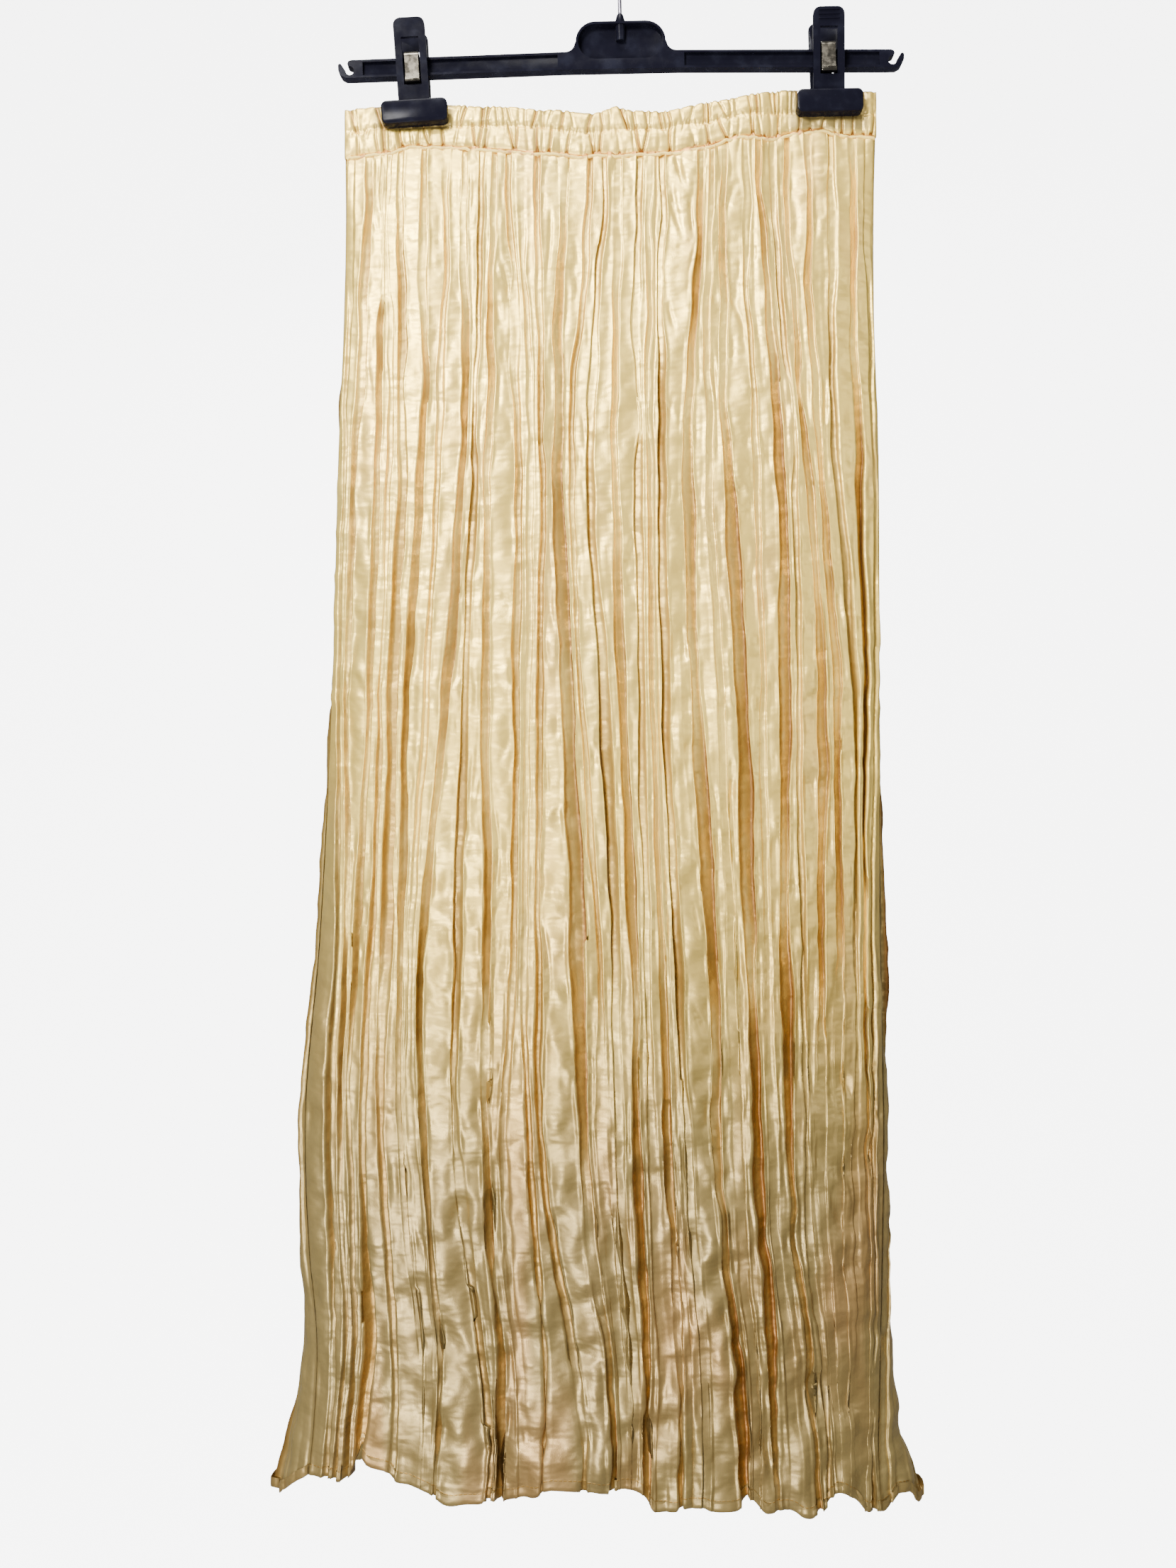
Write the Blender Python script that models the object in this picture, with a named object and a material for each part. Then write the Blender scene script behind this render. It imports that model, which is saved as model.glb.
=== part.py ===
"""Pleated satin maxi skirt, hung flat by its waistband from a two-clip hanger.

Blender 4.5, metres, +Z up. The front of the skirt faces -Y and +X is to the viewer's right.
The origin is the inside of the hook's crown, where the rod of a rail carries the hanger.
Sizes below are in millimetres and are turned into metres when a mesh is made.
"""

import math

import bmesh
import bpy
import numpy as np

MM = 0.001
SEAM_GAP = 0.3  # between pieces that meet

# ------------------------------------------------------------------ cloth sizes
WALL = 1.2  # satin with its seam allowances and trapped air
FACET_LEAST = 2.2  # narrowest flat between two folds
RECESS_LEAST = 2.0  # narrowest floor of a fold
WAIST_NOMINAL = -150.0  # height of the waist seam
HEM_NOMINAL = -962.0
SEAM_HEMS = (-949.5, -966.0)  # height of the hem at the left and right side seams
BACK_HEM = -951.0  # and in the middle of the back
HEM_START = 6  # power with which a facet's extra length gathers near the hem
WAIST_FOLD_DEPTH = 1.3
TIP_RADIUS = 2.2  # rounding of the flattened tube's edges at the waist
TIP_RADIUS_HEM = 13.0
LINE_SAMPLES = 801  # points that trace half a section
TANGENT_REACH = 0.4  # the section's direction is taken over this distance each way
FOLD_RUN = 0.25  # a fold's mouth widens by this share of its depth at each side
FOLD_RUN_LEAST = 0.2
FLOOR_SHARE = 0.72  # widest floor, as a share of the mouth
MOUTH_CLOSED = 0.9  # a half mouth squeezed to this has no depth
MOUTH_FREE = 1.7  # and from here it has all of it
SQUEEZE_LEAST = 0.2

# Heights of the rows of folds, and of the rings that the solids are lofted through.
STATIONS = (-178.0, -336.0, -492.0, -644.0, -794.0, -933.0)
RINGS = (-150.0, -178.0, -250.0, -336.0, -492.0, -644.0, -794.0, -890.0, -962.0)

# The flattened tube: where its two edges lie, how deep it is, and the share of the half width
# at which each side seam lies on the front (1 is at the very edge).
OUTLINE_COLUMNS = ("height", "left", "right", "depth", "left_seam", "right_seam")
OUTLINE = (
    (-150.0, -167.6, 158.4, 4.8, 1.0, 1.0),
    (-184.0, -167.4, 157.6, 13.0, 1.0, 1.0),
    (-250.0, -168.6, 157.4, 22.0, 1.0, 1.0),
    (-333.0, -172.0, 160.2, 32.0, 1.0, 1.0),
    (-490.0, -176.2, 161.0, 50.0, 1.0, 1.0),
    (-644.0, -185.2, 162.8, 66.0, 0.99, 0.99),
    (-753.0, -195.2, 165.6, 78.0, 0.98, 0.985),
    (-830.0, -195.6, 166.6, 88.0, 0.96, 0.97),
    (-885.0, -194.0, 168.4, 94.0, 0.94, 0.95),
    (-930.0, -201.0, 176.0, 98.0, 0.91, 0.90),
    (-975.0, -212.0, 191.0, 102.0, 0.88, 0.84),
)

# Front folds, left to right: their centres as a share of the front (percent) at each station,
# their widths and depths at hip, knee and hem in mm, how far the facet to the right hangs
# below the hem line, and how far the recess itself is lifted above its neighbours.
FOLD_COLUMNS = (
    "waist", "hip", "thigh", "knee", "calf", "hem",
    "wide_top", "wide_mid", "wide_hem", "deep_top", "deep_mid", "deep_hem", "drop", "lift",
)
FRONT_LEFT_FOLDS = (
    (1.5, 2.5, 2.0, 3.0, 4.0, 1.6, 2.0, 2.2, 2.4, 1.2, 3.0, 4.0, 3.0, 0.0),
    (4.9, 4.7, 4.1, 5.2, 6.9, 3.8, 4.0, 2.6, 2.4, 2.0, 4.0, 5.0, 4.0, 1.0),
    (7.3, 8.7, 9.0, 7.7, 8.9, 6.2, 2.2, 2.6, 2.4, 1.5, 4.0, 5.0, -1.0, 1.0),
    (8.7, 10.9, 11.0, 11.0, 11.6, 9.6, 2.0, 2.4, 5.0, 0.3, 2.6, 6.0, -9.0, 18.0),
    (10.8, 13.4, 13.0, 13.6, 15.2, 15.4, 2.4, 7.0, 3.0, 2.0, 5.0, 4.0, -2.0, 1.0),
    (15.1, 17.1, 15.6, 16.2, 18.6, 20.4, 2.4, 2.8, 2.6, 1.3, 5.0, 3.0, 0.0, 1.0),
    (19.3, 19.8, 19.2, 18.0, 20.6, 21.6, 2.2, 2.2, 2.2, 1.6, 1.2, 0.6, 2.0, 0.0),
    (22.8, 24.0, 22.5, 20.0, 22.6, 23.0, 2.4, 3.4, 3.4, 1.6, 4.0, 6.0, 6.0, 2.0),
    (26.1, 26.2, 25.7, 26.0, 28.4, 32.0, 2.2, 3.0, 4.0, 1.3, 4.0, 6.0, 2.0, 3.0),
    (28.4, 28.8, 29.2, 30.9, 32.6, 34.0, 2.4, 3.4, 2.4, 1.6, 3.4, 1.6, 0.0, 0.0),
    (31.0, 34.0, 34.7, 35.4, 35.3, 38.0, 2.6, 3.6, 3.0, 1.6, 3.4, 5.0, -2.0, 1.0),
    (33.4, 36.0, 36.7, 37.4, 39.9, 41.2, 2.2, 2.2, 2.4, 1.2, 0.6, 4.0, -7.0, 1.0),
    (36.4, 38.1, 38.6, 39.7, 42.3, 48.0, 2.6, 2.6, 3.4, 1.7, 2.8, 4.0, -7.0, 0.0),
    (41.5, 41.0, 43.3, 46.3, 49.0, 53.0, 2.2, 7.0, 5.0, 1.2, 5.0, 5.0, -11.0, 0.0),
    (46.2, 43.6, 45.9, 49.8, 51.7, 54.9, 2.4, 2.4, 2.4, 1.9, 2.6, 3.0, -9.0, 0.0),
    (48.9, 46.6, 49.9, 52.6, 54.2, 56.6, 2.2, 4.4, 3.0, 1.4, 4.4, 4.4, -8.0, 0.0),
    (51.4, 51.0, 52.8, 55.8, 57.0, 58.4, 2.2, 3.8, 3.0, 1.2, 3.4, 4.4, 3.0, 2.0),
    (55.4, 55.3, 56.0, 58.0, 59.8, 61.2, 3.4, 3.0, 2.4, 2.0, 2.4, 2.4, 2.0, 0.0),
    (57.4, 57.3, 58.0, 60.3, 62.4, 64.4, 2.2, 2.2, 3.0, 0.6, 2.0, 6.0, 0.0, 2.0),
)
FRONT_RIGHT_FOLDS = (
    (59.6, 59.5, 60.4, 63.0, 65.6, 68.6, 2.4, 3.0, 2.4, 1.8, 4.6, 2.6, 1.5, 1.0),
    (66.8, 64.0, 65.6, 69.0, 70.4, 75.0, 3.4, 5.0, 3.4, 2.0, 4.6, 5.0, -6.0, 1.0),
    (68.8, 67.6, 69.6, 72.2, 73.7, 77.4, 2.2, 2.2, 2.6, 1.2, 0.6, 4.0, 3.0, 1.0),
    (71.2, 71.0, 73.2, 75.2, 77.0, 81.0, 2.4, 5.6, 4.0, 1.6, 4.6, 4.4, 2.5, 1.0),
    (75.0, 76.2, 77.0, 78.1, 79.4, 84.2, 2.2, 2.2, 3.0, 1.6, 1.2, 4.0, 6.0, 1.0),
    (77.4, 80.2, 80.9, 81.3, 82.4, 87.8, 2.6, 5.0, 3.4, 1.9, 4.6, 4.4, 3.0, 4.0),
    (80.2, 82.6, 83.2, 84.5, 85.2, 90.1, 2.2, 2.4, 2.4, 1.3, 2.6, 3.0, -7.0, 0.0),
    (83.0, 84.8, 87.4, 87.6, 87.8, 91.9, 2.2, 3.8, 2.4, 1.5, 4.0, 3.6, -6.0, 0.0),
    (86.8, 87.4, 90.0, 90.8, 90.6, 93.6, 2.4, 3.6, 2.4, 1.7, 3.2, 3.0, -2.0, 0.0),
    (91.3, 90.4, 93.6, 94.0, 93.6, 95.6, 3.0, 4.0, 2.4, 1.9, 4.0, 4.0, 4.0, 0.0),
    (95.2, 94.6, 96.2, 96.4, 97.0, 97.6, 2.6, 3.0, 2.4, 1.7, 4.4, 4.0, 8.0, 0.0),
    (98.2, 98.0, 98.4, 98.5, 98.9, 99.0, 2.0, 2.0, 2.2, 0.8, 2.0, 2.4, 6.0, 0.0),
)
# Hidden folds of the back, each value a mean and a swing, with the swing's step in radians.
BACK_FOLD_COUNT = 32
BACK_PLACE = (0.7, 2.4)
BACK_DRIFT = (0.55, 1.3, 0.8)
BACK_WIDE = (3.9, 1.6, 3.1)
BACK_DEEP = (4.2, 1.0, 1.9)
BACK_DROP = (4.5, 2.0)
BACK_WAIST = (2.4, 1.5)  # width and depth below the waist seam

# The waistband's three sewn lines, read along its width: top edge, stitched row, waist seam.
BAND_COLUMNS = ("across", "top", "row", "seam")
BAND_LINES = (
    (-170.0, -123.1, -136.7, -151.9),
    (-137.0, -122.7, -134.5, -148.0),
    (-102.0, -120.3, -134.5, -146.2),
    (-76.0, -120.5, -135.4, -147.5),
    (-50.0, -122.7, -136.3, -149.3),
    (-20.0, -124.9, -137.1, -150.6),
    (-2.0, -121.6, -136.3, -150.6),
    (11.0, -123.7, -135.9, -151.0),
    (33.0, -121.9, -134.1, -148.4),
    (55.0, -118.4, -131.5, -144.0),
    (77.0, -114.4, -127.6, -140.5),
    (98.0, -111.4, -126.3, -137.9),
    (120.0, -111.0, -125.4, -135.4),
    (161.0, -111.4, -125.0, -139.3),
)
BAND_ENDS = (-168.6, 159.4)
BAND_COLUMN_COUNT = 80  # two to a gather
BAND_SLIT = 0.3  # inner faces of the pressed waistband from the middle plane
BAND_BOW = 4.0  # how far each side bows away between the clips
BOW_PLATEAU = 82.0
BOW_END = 104.0
BOW_FADE = 0.12  # share of the skirt's length over which the bow goes
BAND_PRESSED = 2.6  # thickness of the casing under a jaw
BAND_END_TAPER = (4.0, 0.35)  # distance over which the ends thin, and their least share
GATHER_EVENNESS = 0.65  # how much of a gather's size is the same for all
GATHER_STEPS = (1.7, 2.3)  # radians from one gather to the next, above and below the row
JAW_CLEARANCE = (9.0, 3.0)  # flat casing beyond a jaw's end, and the length over which it swells
# The casing down its height: (share of the height, thickness, size of the gathers there).
CASING = (
    (0.00, 1.5, 0.2),
    (0.13, 2.7, 0.7),
    (0.30, 3.1, 0.8),
    (0.50, 2.2, 0.3),
    (0.74, 3.0, 0.8),
    (1.00, 2.4, 0.4),
)
CASING_INSIDE = (1.00, 0.50, 0.06)

# ------------------------------------------------------------------ hanger sizes
HANGER_TILT = 1.15  # degrees: the hanger hangs a little askew, right end up
BAR_DEPTH = 7.5
BAR_HEIGHT = 10.8
BAR_MIDDLE = -91.3  # height of the bar's middle line at the plaque
ARM_ROOT = 36.0  # where the straight arms begin
BAR_END = 163.5  # where the end notch begins
ARM_DROOP = 2.3  # how far each arm's end has sunk
RIM = 1.4
WEB_DEPTH = 2.6  # recess in the bar's face
WEB_ENDS = (39.0, 159.0)
PLAQUE_HALF = 27.7
PLAQUE_TOP = -67.4
PLAQUE_RADIUS = 12.2
PLAQUE_DEPTH = 5.2
FILLET = 6.0
NOTCH_CENTRE = (167.0, -94.7)
NOTCH_RADIUS = 2.7
# The finger outside the notch and the lip inside it, from the notch's centre.
NOTCH_FINGER = ((7.1, 0.4), (7.2, 3.7), (6.3, 4.5), (5.3, 4.1), (4.2, 2.4))
NOTCH_LIP = ((0.9, 3.2), (1.5, 4.3))
NOTCH_TURN = (0.0, -262.0)
TOE = (2.6, 5.4, 1.6)  # rounding under the notch: where it begins and ends, and its rise
BOSS_TOP = -62.0
BOSS_RADII = (1.9, 3.2, 2.7)  # top, shoulder and column on the plaque
BOSS_LEVELS = (-62.0, -66.4, -78.0)

WIRE_RADIUS = 1.2
HOOK_INSIDE = 20.0
HOOK_TURN = (-25.0, 250.0)  # degrees round the crown, from the tip to the neck
HOOK_STEPS = 26
NECK_STEPS = 6

CLIP_PLACES = (("left", -128.4, -0.7, 2.5), ("right", 127.2, 0.7, 0.0))
ARM_TOP = 27.3  # heights below are from the bar's middle line at the clip
ARM_WIDTH = 19.2
ARM_PLATE = 2.4
ARM_CORNER = 4.2
ARM_LEAN = 0.11  # the arm's slope away from the bar
ARM_START = 5.0  # middle of the plate in front of the centre plane at the jaw
ARM_SUNK = 3.0  # how far the plate reaches down into the jaw
FLANGE = 1.3  # thickness of the plate's two side flanges
FLANGE_OUT = 0.4  # how far a flange reaches into the plate
FLANGE_TOP = 1.6  # its depth behind the plate's middle at the top
FLANGE_SEAT = 14.0  # height at which it comes back to the bar's face
FLANGE_INSET = 0.2
WINDOW_REACH = (0.5, 20.0)  # the window's cut, from the centre plane outwards
WINDOW = (10.6, 16.0, -11.7)  # width, top and bottom
JAW_WIDTH = 40.6
JAW_TOP = -22.1
JAW_BOTTOM = -36.4
JAW_FACES = (3.2, 11.0)  # inner and outer face in front of the centre plane
JAW_CORNER = 3.4
JAW_EDGE = 1.2
GRIP_RIDGES = (25.4, 22.9, 20.4)
RIDGE_SIZE = (12.5, 1.1, 0.7)
SPRING_WIDTH = 8.6
SPRING_THICK = 0.8
SPRING_LEG = 7.6
SPRING_SPAN = (-9.4, 6.0)  # heights of the straight leg
SPRING_RISE = 3.8
SPRING_CURL = 1.6

# ------------------------------------------------------------------ colours
SATIN = (0.88, 0.80, 0.60, 1.0)
BLACK_PLASTIC = (0.012, 0.014, 0.024, 1.0)
WIRE_METAL = (0.45, 0.44, 0.50, 1.0)
SPRING_METAL = (0.62, 0.60, 0.55, 1.0)


# ------------------------------------------------------------------ scene helpers
def clear_scene():
    for old in list(bpy.data.objects):
        bpy.data.objects.remove(old, do_unlink=True)


def material(name, colour, roughness, metallic=0.0):
    made = bpy.data.materials.new(name)
    made.use_nodes = True
    shader = made.node_tree.nodes["Principled BSDF"]
    shader.inputs["Base Color"].default_value = colour
    shader.inputs["Roughness"].default_value = roughness
    shader.inputs["Metallic"].default_value = metallic
    return made


def add_object(name, points_mm, faces, finish, parent=None):
    """An object from points in millimetres and its faces, which are turned to face out."""
    mesh = bpy.data.meshes.new(name)
    points = np.asarray(points_mm, float) * MM
    mesh.from_pydata(points.tolist(), [], faces)
    turned = bmesh.new()
    turned.from_mesh(mesh)
    bmesh.ops.recalc_face_normals(turned, faces=turned.faces)
    turned.to_mesh(mesh)
    turned.free()
    mesh.materials.append(finish)
    made = bpy.data.objects.new(name, mesh)
    bpy.context.scene.collection.objects.link(made)
    made.parent = parent
    return made


def hide_helper(helper):
    helper.hide_render = True
    helper.display_type = "WIRE"


def add_boolean(target, other, operation):
    step = target.modifiers.new(operation.lower(), "BOOLEAN")
    step.operation = operation
    step.object = other
    hide_helper(other)


def column(table, columns, name):
    """One named column of a table of rows."""
    place = columns.index(name)
    return np.array([row[place] for row in table])


# ------------------------------------------------------------------ the flattened tube
def outline_value(height, name):
    heights = column(OUTLINE, OUTLINE_COLUMNS, "height")
    return np.interp(-height, -heights, column(OUTLINE, OUTLINE_COLUMNS, name))


def ring_share(height):
    """How far down the skirt a height is: 0 at the waist seam, 1 at the hem."""
    return (height - WAIST_NOMINAL) / (HEM_NOMINAL - WAIST_NOMINAL)


def bow(across):
    """How far the waist bows away from the middle plane between the clips."""
    share = np.clip((BOW_END - np.abs(across)) / (BOW_END - BOW_PLATEAU), 0.0, 1.0)
    return BAND_BOW * share * share * (3 - 2 * share)


def section(height, side):
    """The section's middle line for the front or back panel, from left seam to right seam.

    It is a blunt lens |x/w|^p + (y/b)^2 = 1, with p chosen so that its edges have the tip
    radius, and near the waist it follows the bowed waistband."""
    left = outline_value(height, "left")
    right = outline_value(height, "right")
    half = outline_value(height, "depth") / 2
    share = ring_share(height)
    tip = TIP_RADIUS + (TIP_RADIUS_HEM - TIP_RADIUS) * share
    middle, width = (left + right) / 2, (right - left) / 2
    power = max(2.0, 2 * width * tip / half**2)
    u = np.sin(np.linspace(-1, 1, LINE_SAMPLES) * math.pi / 2)
    lens = half * np.sqrt(np.clip(1 - np.abs(u) ** power, 0, 1))
    x = middle + width * u
    lens = lens + bow(x) * max(0.0, 1 - share / BOW_FADE)
    front = np.stack([x, -lens], axis=1)
    back = np.stack([x, lens], axis=1)
    before = u < -outline_value(height, "left_seam")
    after = u > outline_value(height, "right_seam")
    if side == "front":
        line = front[~before & ~after]
    else:
        line = np.concatenate([front[before][::-1], back[1:-1], front[after][::-1]])
    steps = np.hypot(*np.diff(line, axis=0).T)
    along = np.concatenate([[0.0], np.cumsum(steps)])
    return along, line


def place_on(line, along, where):
    """Points of the middle line at the given distances, and the normals that point out."""
    x = np.interp(where, along, line[:, 0])
    y = np.interp(where, along, line[:, 1])
    ahead = np.minimum(where + TANGENT_REACH, along[-1])
    behind = np.maximum(where - TANGENT_REACH, 0.0)
    dx = np.interp(ahead, along, line[:, 0]) - np.interp(behind, along, line[:, 0])
    dy = np.interp(ahead, along, line[:, 1]) - np.interp(behind, along, line[:, 1])
    length = np.hypot(dx, dy)
    return np.stack([x, y], axis=1), np.stack([dy, -dx], axis=1) / length[:, None]


# ------------------------------------------------------------------ folds
def hidden_folds(count):
    """Folds of the same kind for the back, which the front view hides: their places, widths
    and depths wander by sines of the fold's number, so that none repeats its neighbour."""
    rows = []
    for k in range(count):
        place, place_step = BACK_PLACE
        start = 100 * (k + 0.5) / count + place * math.sin(place_step * k)
        drift, step, level_step = BACK_DRIFT
        levels = range(len(STATIONS))
        centres = [start + drift * math.sin(step * k + level_step * level) for level in levels]
        mean, swing, step = BACK_WIDE
        wide = mean + swing * math.sin(step * k + 1)
        mean, swing, step = BACK_DEEP
        deep = mean + swing * math.sin(step * k)
        swing, step = BACK_DROP
        drop = swing * math.sin(step * k + 0.5)
        waist_wide, waist_deep = BACK_WAIST
        widths = (waist_wide, wide, (wide + waist_wide) / 2)
        rows.append((*centres, *widths, waist_deep, deep, deep, drop, 1.0))
    return tuple(rows)


def at_height(folds, names, height):
    """A value of every fold at one height, from its columns at the stations or at three levels."""
    table = np.stack([column(folds, FOLD_COLUMNS, name) for name in names], axis=1)
    levels = STATIONS if len(names) == len(STATIONS) else (STATIONS[0], STATIONS[2], STATIONS[-1])
    return np.array([np.interp(-height, [-level for level in levels], row) for row in table])


def fold_line(folds, height, length):
    """Distances along the section and insets for the four corners of every fold, kept apart
    so that the facets between them never close."""
    centre = at_height(folds, FOLD_COLUMNS[:6], height) / 100 * length
    floor = np.maximum(at_height(folds, FOLD_COLUMNS[6:9], height), RECESS_LEAST) / 2
    deep = at_height(folds, FOLD_COLUMNS[9:12], height)
    if height >= WAIST_NOMINAL:
        deep = np.minimum(deep, WAIST_FOLD_DEPTH)
    mouth = floor + FOLD_RUN * deep + FOLD_RUN_LEAST
    gaps = np.diff(centre)
    fits = (gaps - FACET_LEAST) / (mouth[1:] + mouth[:-1])
    before = np.concatenate([[1.0], fits])
    after = np.concatenate([fits, [1.0]])
    mouth = mouth * np.clip(np.minimum(before, after), SQUEEZE_LEAST, 1.0)
    deep = deep * np.clip((mouth - MOUTH_CLOSED) / (MOUTH_FREE - MOUTH_CLOSED), 0.0, 1.0)
    floor = np.minimum(floor, mouth * FLOOR_SHARE)
    where = np.stack([centre - mouth, centre - floor, centre + floor, centre + mouth], axis=1)
    inset = np.stack([0 * deep, deep, deep, 0 * deep], axis=1)
    return where, inset


def offset_both(points, amount):
    """A line moved out and in by the same amount, square to it, mitred at its corners."""
    steps = np.diff(points, axis=0)
    steps = steps / np.hypot(*steps.T)[:, None]
    square = np.stack([steps[:, 1], -steps[:, 0]], axis=1)
    first = np.concatenate([square[:1], square])
    last = np.concatenate([square, square[-1:]])
    mitre = (first + last) / (1 + np.sum(first * last, axis=1))[:, None]
    return points + amount * mitre, points - amount * mitre


def hem_height(share, side):
    left, right = SEAM_HEMS
    if side == "front":
        return np.interp(share, (0, 1), (left, right))
    return np.interp(share, (0, 0.5, 1), (left, BACK_HEM, right))


def panel_ring(height, side, folds, start, end, edges):
    """Outer and inner points of one ring of a panel. start and end are the folds that border
    it (None at a side seam), and edges the extra points in its first and last facets."""
    along, line = section(height, side)
    length = along[-1]
    where, inset = fold_line(folds, height, length)
    drop = column(folds, FOLD_COLUMNS, "drop")
    lift = column(folds, FOLD_COLUMNS, "lift")
    before = np.concatenate([drop[:1], drop[:-1]])
    hang = np.stack([before, (before + drop) / 2 - lift, (before + drop) / 2 - lift, drop], axis=1)
    first, last = start or 0, end or len(folds)
    if start:
        low = (where[start - 1, 3] + where[start, 0] + SEAM_GAP) / 2
    else:
        low = SEAM_GAP / 2
    if end:
        high = (where[end - 1, 3] + where[end, 0] - SEAM_GAP) / 2
    else:
        high = length - SEAM_GAP / 2
    rise = np.linspace(0, 1, edges + 1)[:-1]
    low_side = low + (where[first, 0] - low) * rise
    high_side = high - (high - where[last - 1, 3]) * rise[::-1]
    low_hang, high_hang = hang[first, 0] * rise, hang[last - 1, 3] * rise[::-1]
    if start:
        low_side, low_hang = low_side[:1], hang[first, :1]
    if end:
        high_side, high_hang = high_side[-1:], hang[last - 1, 3:]
    s = np.concatenate([low_side, where[first:last].ravel(), high_side])
    d = np.concatenate([0 * low_side, inset[first:last].ravel(), 0 * high_side])
    h = np.concatenate([low_hang, hang[first:last].ravel(), high_hang])
    points, normals = place_on(line, along, s)
    outer, inner = offset_both(points - normals * d[:, None], WALL / 2)
    for k in (0, -1):
        outer[k] = points[k] + normals[k] * WALL / 2
        inner[k] = points[k] - normals[k] * WALL / 2
    share = ring_share(height)
    top = np.interp(points[:, 0], column(BAND_LINES, BAND_COLUMNS, "across"),
                    column(BAND_LINES, BAND_COLUMNS, "seam")) - SEAM_GAP
    hem = hem_height(s / length, side)
    z = top + (hem - top) * share - h * share**HEM_START
    return np.column_stack([outer, z]), np.column_stack([inner, z])


def wall_faces(rings, columns):
    """Quads of a closed wall: outer grid, inner grid, and the four narrow edges."""
    def outer(i, j):
        return i * columns + j

    def inner(i, j):
        return rings * columns + i * columns + j

    faces = []
    for i in range(rings - 1):
        for j in range(columns - 1):
            faces.append((outer(i, j), outer(i + 1, j), outer(i + 1, j + 1), outer(i, j + 1)))
            faces.append((inner(i, j), inner(i, j + 1), inner(i + 1, j + 1), inner(i + 1, j)))
        last = columns - 1
        faces.append((outer(i, 0), inner(i, 0), inner(i + 1, 0), outer(i + 1, 0)))
        faces.append((outer(i, last), outer(i + 1, last), inner(i + 1, last), inner(i, last)))
    foot = rings - 1
    for j in range(columns - 1):
        faces.append((outer(0, j), outer(0, j + 1), inner(0, j + 1), inner(0, j)))
        faces.append((outer(foot, j), inner(foot, j), inner(foot, j + 1), outer(foot, j + 1)))
    return faces


def add_panel(name, side, folds, finish, start=None, end=None, edges=2):
    outer, inner = [], []
    for height in RINGS:
        out, into = panel_ring(height, side, folds, start, end, edges)
        outer.append(out)
        inner.append(into)
    points = np.concatenate(outer + inner)
    return add_object(name, points, wall_faces(len(RINGS), len(outer[0])), finish)


def make_skirt(satin):
    front = FRONT_LEFT_FOLDS + FRONT_RIGHT_FOLDS
    seam = len(FRONT_LEFT_FOLDS)
    add_panel("skirt_front_left", "front", front, satin, end=seam)
    add_panel("skirt_front_right", "front", front, satin, start=seam)
    add_panel("skirt_back", "back", hidden_folds(BACK_FOLD_COUNT), satin, edges=4)


# ------------------------------------------------------------------ waistband
def band_height(across, name):
    return np.interp(across, column(BAND_LINES, BAND_COLUMNS, "across"),
                     column(BAND_LINES, BAND_COLUMNS, name))


def pressed_by_clip(across):
    """1 under a jaw, 0 clear of it."""
    shift = -JAW_BOTTOM * math.sin(math.radians(HANGER_TILT)) - BAR_MIDDLE * math.sin(
        math.radians(HANGER_TILT))
    nearest = np.min([np.abs(across - place - shift) for _, place, _, _ in CLIP_PLACES], axis=0)
    beyond, swell = JAW_CLEARANCE
    return np.clip((JAW_WIDTH / 2 + beyond - nearest) / swell, 0.0, 1.0)


def add_waistband(name, side, finish, phase):
    """A double casing: its thickness swells over each elastic channel and gathers in ridges."""
    x = np.linspace(*BAND_ENDS, BAND_COLUMN_COUNT)
    count = np.arange(BAND_COLUMN_COUNT)
    top, row, seam = [band_height(x, line) for line in ("top", "row", "seam")]
    row_share = 0.5
    ridge = np.where(count % 2 == 0, 1.0, -1.0)
    pressed = pressed_by_clip(x)
    taper, least = BAND_END_TAPER
    edge = np.clip(np.minimum(x - BAND_ENDS[0], BAND_ENDS[1] - x) / taper, least, 1.0)
    loop = []
    for share, thick, gather in CASING:
        upper = share <= row_share
        step = GATHER_STEPS[0] if upper else GATHER_STEPS[1]
        size = GATHER_EVENNESS + (1 - GATHER_EVENNESS) * np.sin(phase + count * step)
        out = thick + gather * ridge * size
        if upper:
            out = out * (1 - pressed) + np.minimum(out, BAND_PRESSED) * pressed
            z = top + (row - top) * share / row_share
        else:
            z = row + (seam - row) * (share - row_share) / (1 - row_share)
        loop.append((BAND_SLIT + bow(x) + out * edge, z))
    for share in CASING_INSIDE:
        if share <= row_share:
            z = top + (row - top) * share / row_share
        else:
            z = row + (seam - row) * (share - row_share) / (1 - row_share)
        loop.append((BAND_SLIT + bow(x), z))
    facing = -1 if side == "front" else 1
    rows = len(loop)
    points = np.concatenate([np.column_stack([x, facing * y, z]) for y, z in loop])
    faces = []
    for i in range(rows):
        after = (i + 1) % rows
        for j in range(BAND_COLUMN_COUNT - 1):
            start, below = i * BAND_COLUMN_COUNT + j, after * BAND_COLUMN_COUNT + j
            faces.append((start, below, below + 1, start + 1))
    left = tuple(i * BAND_COLUMN_COUNT for i in range(rows))
    faces.append(tuple(reversed(left)))
    faces.append(tuple(i + BAND_COLUMN_COUNT - 1 for i in left))
    return add_object(name, points, faces, finish)


# ------------------------------------------------------------------ hanger
def droop(across):
    """How far the bar's middle line has sunk at a place along it."""
    share = np.clip((abs(across) - ARM_ROOT) / (BAR_END - ARM_ROOT), 0.0, 1.2)
    return ARM_DROOP * share


def arc(centre, radius, start, end, steps):
    """Points of an arc, angles in degrees."""
    turns = [math.radians(start + (end - start) * k / steps) for k in range(steps + 1)]
    return [(centre[0] + radius * math.cos(a), centre[1] + radius * math.sin(a)) for a in turns]


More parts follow.
